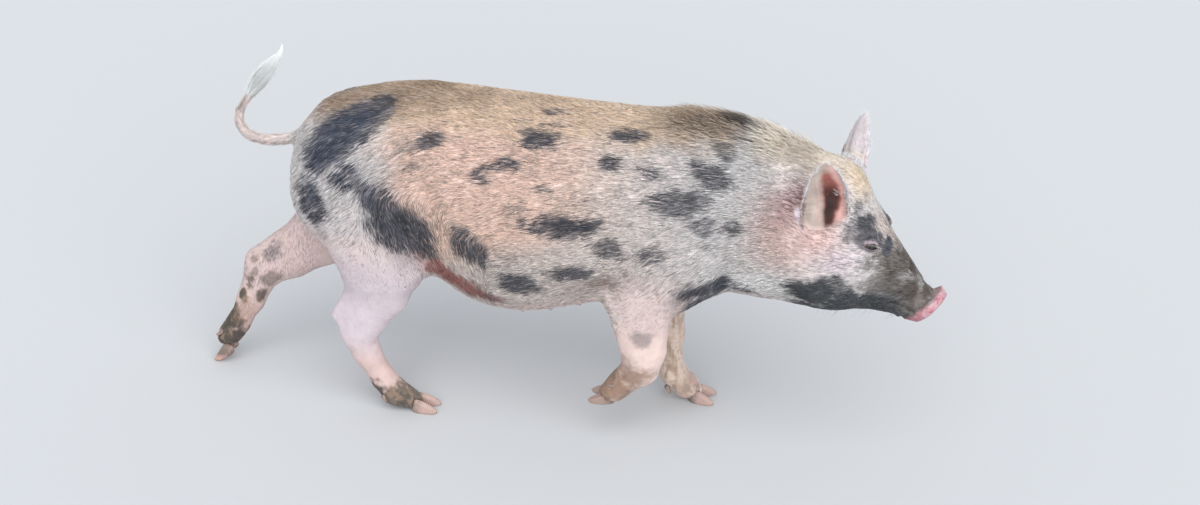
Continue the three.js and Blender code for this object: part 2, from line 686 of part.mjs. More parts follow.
// The flesh stops short of the tail, which starts as a piece of its own.
const tailSeat = { at: [-354, 0, 366.5], pitch: -13.5, reach: 16 };
const { reach } = tailSeat;
body = body.subtract(cutter([-4 * reach, -reach, -reach], [gap, reach, reach], frameAt(tailSeat.at, tailSeat.pitch)));

// The legs come off from the feet up, then the ears, the snout, the head and the neck: the trunk is what is left.
const pieces = {};
const take = (name, low, high, frame) => ([pieces[name], body] = part(body, low, high, frame));

// Each leg is taken off in three lengths by boxes whose tops are square to the bone.
const legCuts = {
  hind_right: [
    { name: "foot", at: [-219, -50, 34], pitch: -34, size: [60, 45, 90] },
    { name: "cannon", at: [-257, -57, 104], pitch: 10, size: [70, 55, 180] },
    { name: "thigh", at: [-238, -76, 204], pitch: 0, size: [69, 62, 230] },
  ],
  hind_left: [
    { name: "foot", at: [-467, 14, 51], pitch: 34, size: [50, 45, 90] },
    { name: "cannon", at: [-431, 26, 124], pitch: 24, size: [70, 60, 200] },
    { name: "thigh", at: [-336, 50, 208], pitch: 38, size: [190, 90, 230] },
  ],
  fore_right: [
    { name: "foot", at: [94, -58, 82], pitch: 44, size: [50, 45, 90] },
    { name: "cannon", at: [119, -60, 108], pitch: 30, size: [55, 50, 120] },
    { name: "forearm", at: [124, -84, 184], pitch: 0, size: [48, 44, 200] },
  ],
  fore_left: [
    { name: "foot", at: [143, 51, 50], pitch: -10, size: [60, 45, 90] },
    { name: "cannon", at: [141, 55, 94], pitch: 0, size: [60, 50, 150] },
    { name: "forearm", at: [130, 84, 180], pitch: 0, size: [42, 60, 240] },
  ],
};
for (const [leg, cuts] of Object.entries(legCuts))
  for (const { name, at, pitch, size } of cuts)
    take(`${name}_${leg}`, [-size[0], -size[1], -size[2]], [size[0], size[1], 0], frameAt(at, pitch));
const yawDegrees = THREE.MathUtils.radToDeg(headYaw);
for (const [name, frame] of Object.entries(ears)) take(`ear_${name}`, [-32, -36, 76], [16, 36, 140], frame);
take("snout", [0, -60, -60], [60, 60, 60], frameAt([461, -28, 244], snoutDisc.pitch, -yawDegrees));
take("head", [0, -200, -300], [300, 200, 300], frameAt([318, -4, 324], -14, -yawDegrees));
take("neck", [0, -200, -300], [300, 200, 300], frameAt([238, 0, 324], -14));
pieces.trunk = body;

for (const [name, solid] of Object.entries(pieces)) addMesh(name, geometryFrom(solid), materials.skin);
addMesh("tail", alongTail(0, 0.6, 15, (t) => tailRadius(t)), materials.skin);
addMesh("tail_brush", alongTail(0.605, 1, 10, (t, s) => brushRadius(s), 1.5), materials.tuft);

// The origin is on the ground under the middle of the whole animal.
const middle = new THREE.Box3().setFromObject(pig, true).getCenter(new THREE.Vector3());
for (const child of pig.children) child.position.sub(middle.setZ(0));

export default pig;
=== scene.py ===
import math

import bmesh
import bpy
import numpy as np
from mathutils import Matrix, Vector
from mathutils.bvhtree import BVHTree


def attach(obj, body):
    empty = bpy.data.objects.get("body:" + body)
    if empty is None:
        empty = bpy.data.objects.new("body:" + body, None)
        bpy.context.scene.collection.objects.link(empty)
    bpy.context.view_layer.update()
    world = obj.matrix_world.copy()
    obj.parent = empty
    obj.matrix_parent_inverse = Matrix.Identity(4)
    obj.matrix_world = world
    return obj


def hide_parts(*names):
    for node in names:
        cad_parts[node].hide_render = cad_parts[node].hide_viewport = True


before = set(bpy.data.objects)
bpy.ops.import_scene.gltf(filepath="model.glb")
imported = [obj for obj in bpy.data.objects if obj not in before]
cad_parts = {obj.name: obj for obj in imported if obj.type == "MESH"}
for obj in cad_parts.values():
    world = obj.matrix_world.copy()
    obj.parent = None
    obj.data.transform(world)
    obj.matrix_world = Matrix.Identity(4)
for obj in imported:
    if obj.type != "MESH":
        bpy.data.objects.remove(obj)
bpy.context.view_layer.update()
rootBody = "root"
mm = 0.001


# small tools

def srgb(code):
    # an sRGB hex colour as linear red, green and blue
    parts = [int(code[i:i + 2], 16) / 255 for i in (0, 2, 4)]
    return np.array([v / 12.92 if v <= 0.04045 else ((v + 0.055) / 1.055) ** 2.4 for v in parts])


def addNode(material, kind, settings=None, links=None):
    # one shader node with its settings, and links given as {input: (node, output)}
    node = material.node_tree.nodes.new(kind)
    for name, value in (settings or {}).items():
        if hasattr(node, name) and name not in node.inputs:
            setattr(node, name, value)
        else:
            node.inputs[name].default_value = value
    for name, (source, output) in (links or {}).items():
        material.node_tree.links.new(source.outputs[output], node.inputs[name])
    return node


def newMaterial(name):
    material = bpy.data.materials.new(name)
    material.use_nodes = True
    material.node_tree.nodes.clear()
    return material


def addObject(name, mesh, material=None):
    piece = bpy.data.objects.new(name, mesh)
    bpy.context.scene.collection.objects.link(piece)
    if material:
        mesh.materials.append(material)
    return piece


def meshOf(name, shape):
    mesh = bpy.data.meshes.new(name)
    shape.to_mesh(mesh)
    shape.free()
    return mesh


def finished(piece):
    # the piece's mesh with its modifiers applied
    depsgraph = bpy.context.evaluated_depsgraph_get()
    mesh = bpy.data.meshes.new_from_object(piece.evaluated_get(depsgraph))
    piece.modifiers.clear()
    piece.data = mesh
    return mesh


def placesOf(mesh):
    places = np.empty(len(mesh.vertices) * 3, np.float32)
    mesh.vertices.foreach_get("co", places)
    return places.reshape(-1, 3).astype(float)


def normalsOf(mesh):
    normals = np.empty(len(mesh.vertices) * 3, np.float32)
    mesh.vertex_normals.foreach_get("vector", normals)
    return normals.reshape(-1, 3).astype(float)


def edgesOf(mesh):
    edges = np.empty(len(mesh.edges) * 2, np.int32)
    mesh.edges.foreach_get("vertices", edges)
    return edges.reshape(-1, 2)


def setPlaces(mesh, places):
    mesh.vertices.foreach_set("co", places.astype(np.float32).ravel())
    mesh.update()


def setColour(mesh, colours):
    attribute = mesh.color_attributes.new("coatColour", "FLOAT_COLOR", "POINT")
    rgba = np.ones((len(colours), 4), np.float32)
    rgba[:, :3] = colours
    attribute.data.foreach_set("color", rgba.ravel())


def setFloat(mesh, name, values):
    mesh.attributes.new(name, "FLOAT", "POINT").data.foreach_set("value", values.astype(np.float32))


def unit(vectors):
    return vectors / np.maximum(np.linalg.norm(vectors, axis=-1, keepdims=True), 1e-9)


def ramp(values, low, high):
    # 0 below low, 1 above high, smooth between them; low may be the larger
    t = np.clip((values - low) / (high - low), 0, 1)
    return t * t * (3 - 2 * t)


def bell(values, width):
    # 1 at 0, falling smoothly to about a third at the width
    return np.exp(-((values / width) ** 2))


def mixed(a, b, share):
    return a + (b - a) * share[:, None]


def softNoise(points, size, seed):
    # smooth noise from -1 to 1, with lumps of the given size in metres
    p = points / size + seed * 7.31
    cell = np.floor(p).astype(np.int64)
    part = p - cell
    part = part * part * (3 - 2 * part)
    total = np.zeros(len(points))
    for corner in range(8):
        bits = np.array([corner & 1, corner >> 1 & 1, corner >> 2])
        at = cell + bits
        mark = at[:, 0] * 73856093 ^ at[:, 1] * 19349663 ^ at[:, 2] * 83492791 ^ seed * 97531
        mark = (mark ^ mark >> 13) * 1274126177 & 0x7FFFFFFF
        mark = (mark ^ mark >> 15) * 668265263 & 0x7FFFFFFF
        weight = np.prod(np.where(bits == 1, part, 1 - part), axis=1)
        total += weight * (mark / 0x3FFFFFFF - 1)
    return total


# camera

camera = {
    "place": (0.5393, -2.2884, 1.61),
    "aim": (-0.1795, 0.8445, -0.5045),
    "lens": 62.8,
}


def makeCamera():
    data = bpy.data.cameras.new("camera")
    data.lens = camera["lens"]
    data.sensor_width = 36
    data.clip_end = 50
    eye = bpy.data.objects.new("camera", data)
    eye.location = camera["place"]
    eye.rotation_euler = Vector(camera["aim"]).to_track_quat("-Z", "Y").to_euler()
    bpy.context.scene.collection.objects.link(eye)
    bpy.context.scene.camera = eye


makeCamera()
print("camera placed")

# the frames that details are measured in, in millimetres

headFrame = {"pivot": (297.95, 0, 330), "yaw": math.radians(10)}  # the head is turned to the pig's right


def toHead(places):
    # places in metres to the straight head's own frame, in millimetres
    p = places / mm - np.array(headFrame["pivot"])
    c = math.cos(headFrame["yaw"])
    s = math.sin(headFrame["yaw"])
    straight = np.stack([p[:, 0] * c - p[:, 1] * s, p[:, 0] * s + p[:, 1] * c, p[:, 2]], axis=1)
    return straight + np.array([300, 0, 330])


def fromHead(place):
    # one place in the straight head's frame, in millimetres, to metres
    x = place[0] - 300
    y = place[1]
    c = math.cos(headFrame["yaw"])
    s = math.sin(headFrame["yaw"])
    pivot = headFrame["pivot"]
    return Vector((pivot[0] + x * c + y * s, -x * s + y * c, place[2])) * mm


def headTurn():
    return Matrix.Rotation(-headFrame["yaw"], 4, "Z")


ear = {
    "left": {"side": 1, "at": (357, 53, 326), "forward": 6, "facing": 52, "width": 58},
    "right": {"side": -1, "at": (361, 57, 326), "forward": 2, "facing": 60, "width": 66},
    "lean": 12.5,
    "length": 125,
}
snoutDisc = {"at": (483, 0, 238.5), "pitch": 42, "tall": 27.5, "wide": 29}
nostril = {"side": 11, "up": 1.5, "wide": 4.6, "tall": 6.2, "rimWide": 8.4, "rimTall": 9.6}


def earFrame(name):
    # x out of the ear's hollow side, y across the ear, z from its root to its tip
    one = ear[name]
    x, y, z = one["at"]
    turn = Matrix.Rotation(math.radians(-one["side"] * ear["lean"]), 4, "X")
    turn = turn @ Matrix.Rotation(math.radians(one["forward"]), 4, "Y")
    turn = turn @ Matrix.Rotation(math.radians(one["side"] * one["facing"]), 4, "Z")
    return Matrix.Translation(fromHead((x, one["side"] * y, z))) @ headTurn() @ turn


def inFrame(matrix, places, normals=None):
    # places and normals in a frame's own axes; places come out in mm
    turn = np.array(matrix.to_3x3())
    local = (places - np.array(matrix.translation)) @ turn / mm
    return local if normals is None else (local, normals @ turn)


def toSnout(places):
    # how far in front of the snout's disc, to its side, and up it, in mm
    head = toHead(places) - np.array(snoutDisc["at"])
    angle = math.radians(snoutDisc["pitch"])
    out = head[:, 0] * math.cos(angle) - head[:, 2] * math.sin(angle)
    up = head[:, 0] * math.sin(angle) + head[:, 2] * math.cos(angle)
    return out, head[:, 1], up


def inNostril(side, up, wide, tall):
    # how far a place of the disc is from the middle of a nostril: 1 at the given half sizes
    return np.hypot((np.abs(side) - nostril["side"]) / wide, (up - nostril["up"]) / tall)


# eyes and lids

eye = {
    "centre": (410, 28.5, 324.5),
    "radius": 9.4,
    "out": (0.52, 0.80, 0.30),  # where the eye looks
    "along": (0.80, -0.55, -0.26),  # from the outer to the inner corner
    "lid": 2.3,
    "lidGap": 0.35,
    "halfSlit": 9.8,
    "slitHeight": 2.4,
    "slitDown": 2.2,
}


def eyeFrame(side):
    # x along the slit to the inner corner, y up the lids, z out of the head
    out = Vector((eye["out"][0], side * eye["out"][1], eye["out"][2])).normalized()
    along = Vector((eye["along"][0], side * eye["along"][1], eye["along"][2]))
    along = (along - out * along.dot(out)).normalized()
    up = out.cross(along)
    if up.z < 0:
        up = -up
    turn = Matrix((along, up, out)).transposed().to_4x4()
    x, y, z = eye["centre"]
    return Matrix.Translation(fromHead((x, side * y, z))) @ headTurn() @ turn


def inSlit(x, y):
    # how far inside the opening between the lids a place is, from 1 in its middle to 0 at the margin
    width = x / eye["halfSlit"]
    return 1 - width * width - abs(y + eye["slitDown"]) / eye["slitHeight"]


def lidShape(side):
    # the lids as a thick shell round the eyeball, open along the slit
    shape = bmesh.new()
    radius = eye["radius"] + eye["lidGap"] + eye["lid"]
    bmesh.ops.create_icosphere(shape, subdivisions=5, radius=radius * mm)
    gone = []
    for face in shape.faces:
        middle = face.calc_center_median() / mm
        if middle.z < -2 or (middle.z > 0 and inSlit(middle.x, middle.y) > 0):
            gone.append(face)
    bmesh.ops.delete(shape, geom=gone, context="FACES")
    bmesh.ops.solidify(shape, geom=shape.faces[:], thickness=eye["lid"] * mm)
    bmesh.ops.recalc_face_normals(shape, faces=shape.faces[:])
    bmesh.ops.transform(shape, matrix=eyeFrame(side), verts=shape.verts[:])
    return shape


# skin: one body out of all the nodes of flesh

fleshStarts = ("trunk", "neck", "head", "snout", "ear_", "tail", "thigh_", "forearm_", "cannon_", "foot_")
fleshNodes = sorted(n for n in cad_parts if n.startswith(fleshStarts) and n != "tail_brush")

skinShape = {
    "grow": 0.5,  # closes the thin cuts between the nodes
    "voxel": 1.5,
    "rounds": 100,
    "smoothing": 0.6,
    "waves": 0.35,
    "waveSize": 16,
    "triangles": 196000,
}

# smooth: how strongly a part is smoothed; coat: how deep the coat lies over the skin, mm; hair and width: a
# tuft's length and width, mm; dense: how close the tufts stand; lift: how far they rise
parts = {
    "trunk": {"smooth": 1.0, "coat": 2.3, "hair": 16, "width": 0.75, "dense": 1.0, "lift": 1.0},
    "neck": {"smooth": 0.9, "coat": 2.9, "hair": 20, "width": 0.8, "dense": 1.0, "lift": 1.2},
    "head": {"smooth": 0.22, "coat": 1.3, "hair": 10, "width": 0.55, "dense": 1.6, "lift": 0.7},
    "snout": {"smooth": 0.05, "coat": 0.3, "hair": 5, "width": 0.35, "dense": 1.4, "lift": 0.4},
    "ear": {"smooth": 0.06, "coat": 0.5, "hair": 7, "width": 0.34, "dense": 1.6, "lift": 0.5},
    "tail": {"smooth": 0.12, "coat": 2.2, "hair": 13, "width": 0.5, "dense": 2.2, "lift": 1.2},
    "thigh": {"smooth": 0.4, "coat": 1.1, "hair": 8, "width": 0.36, "dense": 1.4, "lift": 0.42},
    "forearm": {"smooth": 0.35, "coat": 1.0, "hair": 8, "width": 0.36, "dense": 1.4, "lift": 0.42},
    "cannon": {"smooth": 0.2, "coat": 0.7, "hair": 6, "width": 0.3, "dense": 1.6, "lift": 0.42},
    "foot": {"smooth": 0.1, "coat": 0.5, "hair": 5, "width": 0.3, "dense": 1.6, "lift": 0.42},
}
partNames = list(parts)


def joinedFlesh():
    # all the nodes of flesh in one mesh, each slightly grown, with the part that each face belongs to
    joined = bmesh.new()
    owner = joined.faces.layers.int.new("owner")
    for name in fleshNodes:
        start = len(joined.faces)
        joined.from_mesh(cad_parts[name].data)
        joined.faces.ensure_lookup_table()
        kind = next(i for i, part in enumerate(partNames) if name.startswith(part))
        for face in joined.faces[start:]:
            face[owner] = kind
    bmesh.ops.remove_doubles(joined, verts=joined.verts[:], dist=1e-5)
    joined.normal_update()
    for vert in joined.verts:
        vert.co += vert.normal * skinShape["grow"] * mm
    return joined, owner


def neighbourMean(values, edges, count):
    # the mean of each vertex's neighbours
    degree = np.bincount(edges.ravel(), minlength=count)
    columns = values if values.ndim == 2 else values[:, None]
    sums = [
        np.bincount(edges[:, 0], columns[edges[:, 1], i], count)
        + np.bincount(edges[:, 1], columns[edges[:, 0], i], count)
        for i in range(columns.shape[1])
    ]
    return (np.stack(sums, axis=1) / np.maximum(degree, 1)[:, None]).reshape(values.shape)


def partShares(mesh, tree, owners, rounds):
    # how much each vertex belongs to each part, spread softly across their borders
    places = placesOf(mesh)
    shares = np.zeros((len(places), len(partNames)))
    for i, place in enumerate(places):
        shares[i, owners[tree.find_nearest(Vector(place))[2]]] = 1
    edges = edgesOf(mesh)
    for _ in range(rounds):
        shares = (shares + neighbourMean(shares, edges, len(places))) / 2
    return shares


def share(shares, *names):
    return shares[:, [partNames.index(n) for n in names]].sum(axis=1)


def fieldOf(shares, key):
    return shares @ np.array([parts[name][key] for name in partNames])


# Folds and hollows, on both sides: how wide and how deep (inwards if positive) each is, and the places it
# runs along, all in mm in the head's frame or the pig's.
headFolds = {
    "mouth": (2.6, 3.4, [(481, 23, 229), (466, 27, 238), (446, 31, 245), (428, 38, 249), (410, 46, 256)]),
    "lip": (4.5, -1.5, [(470, 27, 245), (446, 32, 253), (428, 39, 257)]),
    "snout fold": (3.0, 2.0, [(474, 0, 270), (470, 18, 262), (466, 25, 250)]),
    "second fold": (3.2, 1.3, [(459, 0, 284), (456, 18, 276), (452, 26, 264)]),
    "third fold": (3.4, 0.8, [(443, 4, 300), (441, 20, 291), (438, 28, 279)]),
    "tear groove": (3.2, 1.6, [(424, 22, 313), (430, 23, 304), (436, 26, 295)]),
    "brow": (3.6, -2.0, [(392, 42, 342), (402, 36, 342), (413, 27, 339)]),
    "above the eye": (1.8, 1.5, [(396, 43, 335), (405, 38, 335), (415, 30, 331)]),
    "below the eye": (2.2, 1.5, [(398, 45, 320), (407, 42, 313), (418, 34, 309)]),
    "eye bag": (2.0, 1.0, [(396, 48, 313), (406, 45, 306), (419, 36, 302)]),
    "cheek bone": (9, -1.8, [(396, 50, 303), (412, 42, 298), (426, 36, 290)]),
    "jaw angle": (5.5, 2.4, [(377, 62, 288), (373, 62, 272), (377, 56, 256), (384, 46, 246)]),
    "jowl": (11, -2.2, [(352, 68, 285), (350, 68, 265), (358, 58, 246)]),
    "ear root front": (4, 2.0, [(384, 47, 368), (377, 54, 355), (362, 60, 348)]),
    "ear root back": (6, 2.6, [(336, 66, 378), (338, 72, 362), (350, 68, 348)]),
    "forehead": (3.6, 0.9, [(404, 0, 352), (402, 14, 350), (398, 24, 346)]),
}
bodyFolds = {
    "flank fold": (13, 4.0, [(-146, 100, 366), (-138, 104, 330), (-134, 102, 292), (-140, 96, 258)]),
    "behind the shoulder": (13, 3.2, [(92, 90, 390), (84, 104, 340), (78, 103, 290), (84, 94, 244)]),
    "elbow": (7, 3.0, [(84, 92, 236), (98, 92, 218), (112, 88, 208)]),
    "before the shoulder": (12, 2.6, [(224, 68, 400), (228, 84, 350), (226, 84, 300), (222, 74, 256)]),
    "nape fold": (8, 1.8, [(294, 44, 412), (288, 68, 380), (292, 74, 340)]),
    "throat notch": (13, 4.0, [(230, 88, 276), (227, 74, 246), (227, 40, 222), (228, 0, 214)]),
    "throat fold": (8, 1.8, [(300, 60, 262), (290, 40, 240), (286, 0, 226)]),
    "spine": (14, -1.6, [(-240, 0, 450), (-100, 0, 460), (60, 0, 455), (220, 0, 450)]),
    "hip": (18, -2.6, [(-176, 56, 434), (-196, 66, 424)]),
    "shoulder blade": (16, -2.2, [(176, 62, 420), (160, 84, 384), (150, 98, 340)]),
    "ham hollow": (16, 2.2, [(-262, 92, 350), (-246, 98, 300), (-236, 90, 256)]),
}


def strokeReach(places, along):
    # distance from each place to a line of points
    best = np.full(len(places), np.inf)
    for start, end in zip(along[:-1], along[1:]):
        a = np.array(start, float)
        d = np.array(end, float) - a
        t = np.clip(((places - a) @ d) / (d @ d), 0, 1)
        best = np.minimum(best, np.linalg.norm(places - a - t[:, None] * d, axis=1))
    return best


def foldDepth(places, folds):
    # the sum of the folds on both sides, mm
    mirrored = places.copy()
    mirrored[:, 1] = np.abs(mirrored[:, 1])
    total = np.zeros(len(places))
    for wide, deep, along in folds.values():
        points = np.array(along, float)
        reach = 3 * wide
        near = np.all((mirrored > points.min(0) - reach) & (mirrored < points.max(0) + reach), axis=1)
        distance = strokeReach(mirrored[near], along)
        total[near] += deep * bell(distance, wide)
    return total


teats = {"rows": [-118, -82, -44, -6, 32, 70], "apart": 30, "below": 260, "wide": 3.6, "tall": 5.5}


def earHalf(name, z):
    # half the ear's width at a height over its root, mm
    u = np.clip(z / ear["length"], 0, 1)
    leaf = np.sqrt(np.sin(math.pi * (0.1 + 0.9 * u)).clip(0.004) ** 1.15)
    return ear[name]["width"] / 2 * leaf * (1 - 0.12 * u)


def earShift(places, shares):
    # how the leaf of each ear is bent, both faces alike: its bowl goes back, its ridges of gristle forward
    shift = np.zeros_like(places)
    leaf = share(shares, "ear", "head")
    for name in ("left", "right"):
        matrix = earFrame(name)
        x, y, z = inFrame(matrix, places).T
        y = y * -ear[name]["side"]  # towards the front edge if positive
        wide = earHalf(name, z)
        near = leaf * ramp(np.abs(y) - wide, 7, 2) * ramp(z, 34, 52) * ramp(np.abs(x + 9), 22, 16)
        middle = np.interp(z, [20, 45, 65, 85, 110], [1, 6, 8, 5, 0])
        bowl = bell(y - middle, 11) * ramp(z, 112, 80)
        ridge = bell(y - middle + 13, 2.6) * ramp(z, 108, 84)
        second = bell(y - middle + 6, 2.0) * ramp(z, 90, 70)
        third = bell(y - middle - 12, 3.0) * ramp(z, 100, 74)
        roll = ramp(np.abs(y) / wide, 0.8, 1.0)
        wave = 0.6 * np.sin(y * 0.35 + z * 0.08)
        back = 4.5 * bowl - 1.6 * ridge - 1.1 * second - 1.8 * third - 1.2 * roll + wave
        shift -= np.array(matrix.to_3x3().col[0]) * (near * back * mm)[:, None]
        if name == "left":
            bend = 4 * ramp(z, 60, 125) + 3 * ramp(-y, 8, 26) * ramp(z, 50, 80)
            bend *= share(shares, "ear") * ramp(np.abs(y) - wide, 14, 5) * ramp(x, -44, -26)
            shift += np.array(headTurn().to_3x3().col[0]) * (bend * mm)[:, None]
    return shift


def snoutDepth(places):
    # the disc's raised rim, the groove between the nostrils and the wrinkles behind it
    out, side, up = toSnout(places)
    angle = np.arctan2(side, up)
    reach = np.hypot(side / snoutDisc["wide"], up / snoutDisc["tall"])
    front = (out > 4) & (reach < 1.05)
    depth = 0.8 * front * ramp(reach, 0.9, 0.55)
    depth += 1.3 * front * bell(side, 2.2) * ramp(up, 4, -6)
    hole = inNostril(side, up, nostril["rimWide"], nostril["rimTall"])
    depth -= 1.2 * front * bell(hole - 1, 0.26)
    behind = (out < -5) & (out > -34) & (reach < 1.6)
    rings = np.sin(out * 0.62 + 1.1 * np.sin(angle * 2))
    depth += 0.45 * behind * ramp(out, -34, -14) * rings
    depth += 1.6 * bell(out + 10, 2.6) * (reach < 1.5) * (reach > 0.5)
    return depth


def eyeWrinkles(places):
    # fine rings of loose skin round each eye, deepest below and behind it
    depth = np.zeros(len(places))
    ragged = softNoise(places, 7 * mm, 17)
    for side in (-1, 1):
        x, y, z = inFrame(eyeFrame(side), places).T
        reach = np.hypot(x, y * 1.3 + 1.5) + 1.2 * ragged
        band = bell(reach - 17, 5.5) * (z > -6) * ramp(reach, 11.5, 13.5)
        low = 0.45 + 0.55 * ramp(y - 0.4 * x, 6, -4)
        depth += 0.5 * band * low * np.sin(reach * 2 * math.pi / 3.3)
    return depth


def sculpt(mesh, shares):
    # takes the skin in by the coat's depth and works in the folds
    inset = fieldOf(shares, "coat") + skinShape["grow"]
    places = placesOf(mesh)
    normals = normalsOf(mesh)
    headShare = share(shares, "head", "snout", "ear")
    depth = inset + foldDepth(toHead(places), headFolds) * np.clip(headShare * 1.5, 0, 1)
    depth += foldDepth(places / mm, bodyFolds)
    body = places / mm
    under = (normals[:, 2] < -0.5) & (body[:, 2] < teats["below"])
    for x in teats["rows"]:
        for side in (-1, 1):
            off = np.hypot(body[:, 0] - x, body[:, 1] - side * teats["apart"])
            depth -= under * teats["tall"] * bell(off, teats["wide"])
    depth += skinShape["waves"] * softNoise(places, skinShape["waveSize"] * mm, 3) * fieldOf(shares, "smooth")
    depth += snoutDepth(places) + eyeWrinkles(places) * headShare
    setPlaces(mesh, places - normals * (depth * mm)[:, None] + earShift(places, shares))


def dropBits(mesh):
    # removes the small loose bits that remeshing leaves beside the body
    shape = bmesh.new()
    shape.from_mesh(mesh)
    seen = set()
    islands = []
    for start in shape.verts:
        if start in seen:
            continue
        seen.add(start)
        island, waiting = [], [start]
        while waiting:
            vert = waiting.pop()
            island.append(vert)
            for edge in vert.link_edges:
                other = edge.other_vert(vert)
                if other not in seen:
                    seen.add(other)
                    waiting.append(other)
        islands.append(island)
    islands.sort(key=len)
    loose = [vert for island in islands[:-1] for vert in island]
    bmesh.ops.delete(shape, geom=loose, context="VERTS")
    shape.to_mesh(mesh)
    shape.free()


def makeSkin():
    flesh, owner = joinedFlesh()
    owners = [face[owner] for face in flesh.faces]
    tree = BVHTree.FromBMesh(flesh)
    for side in (-1, 1):
        extra = meshOf("lids", lidShape(side))
        flesh.from_mesh(extra)
        bpy.data.meshes.remove(extra)
    print("flesh joined")
    skin = addObject("skin", meshOf("skin", flesh))
    remesh = skin.modifiers.new("remesh", "REMESH")
    remesh.mode = "VOXEL"
    remesh.voxel_size = skinShape["voxel"] * mm
    mesh = finished(skin)
    print("skin remeshed", len(mesh.polygons))
    shares = partShares(mesh, tree, owners, 12)
    lidShare = np.zeros(len(mesh.vertices))
    places = placesOf(mesh)
    for side in (-1, 1):
        centre = np.array(eyeFrame(side).translation)
        away = np.linalg.norm(places - centre, axis=1) / mm
        lidShare = np.maximum(lidShare, ramp(away, 17, 13))
    strength = fieldOf(shares, "smooth") * (1 - 0.8 * lidShare)
    edges = edgesOf(mesh)
    part = skinShape["smoothing"] * strength[:, None]
    for _ in range(skinShape["rounds"]):
        places += (neighbourMean(places, edges, len(places)) - places) * part
    setPlaces(mesh, places)
    print("skin smoothed")
    sculpt(mesh, shares)
    keep = skin.vertex_groups.new(name="plain")
    even = np.clip(fieldOf(shares, "smooth") * 1.6 - 0.1, 0, 1)
    for level in range(11):
        members = np.nonzero(np.round(even * 10) == level)[0]
        keep.add(members.tolist(), level / 10, "REPLACE")
    thin = skin.modifiers.new("thin", "DECIMATE")
    thin.ratio = skinShape["triangles"] / (2 * len(mesh.polygons))
    thin.vertex_group = "plain"
    thin.vertex_group_factor = 1.0
    mesh = finished(skin)
    skin.vertex_groups.clear()
    dropBits(mesh)
    print("skin thinned", len(mesh.polygons))
    return skin, partShares(mesh, tree, owners, 6)


skin, skinShares = makeSkin()
skinTree = BVHTree.FromObject(skin, bpy.context.evaluated_depsgraph_get())


# markings, shared by the skin and the coat; elbow and hollow are painted shade, deep is painted shade and the
# lids' own dark margins, rose is partly painted shade, throat is painted light
colours = {
    "cream": "e6e0db", "white": "e0dfe0", "peach": "f0d2c2", "ginger": "e6cdb2", "brown": "8a7056",
    "umber": "4c443e", "black": "41424a", "salt": "8d919c", "jaw": "46484b", "slate": "57555b",
    "grey": "a8a19d", "muzzle": "6b645f", "pink": "e4cfca", "warmPink": "ecd0c6", "rose": "8f6665",
    "lilac": "d9ccd4", "snout": "c49aa0", "snoutRed": "a35a64", "beige": "bfafa4", "earPink": "d8aca4",
    "earRed": "a9655c", "hollow": "55302a", "deep": "33201c", "lid": "a8959c", "yellow": "f2e5d2",
    "groin": "9d6a64", "footTan": "957b6b", "sand": "d6c2b4", "blueBlack": "3b4252", "mud": "6f645a",
    "darkMud": "514943", "tan": "a08570", "horn": "ad8d83", "shin": "d8b9af", "elbow": "7c6558",
    "throat": "fbf8f6", "flush": "d3a9a3", "forelock": "ead5b4", "earRoot": "e6bdb4",
    "earBack": "bab6be", "eyeWhite": "86706a", "irisRim": "1c120e", "iris": "4a3323", "pupil": "040404",
    "muddyHorn": "97796a", "farHorn": "c4968a",
}
colours = {name: srgb(code) for name, code in colours.items()}

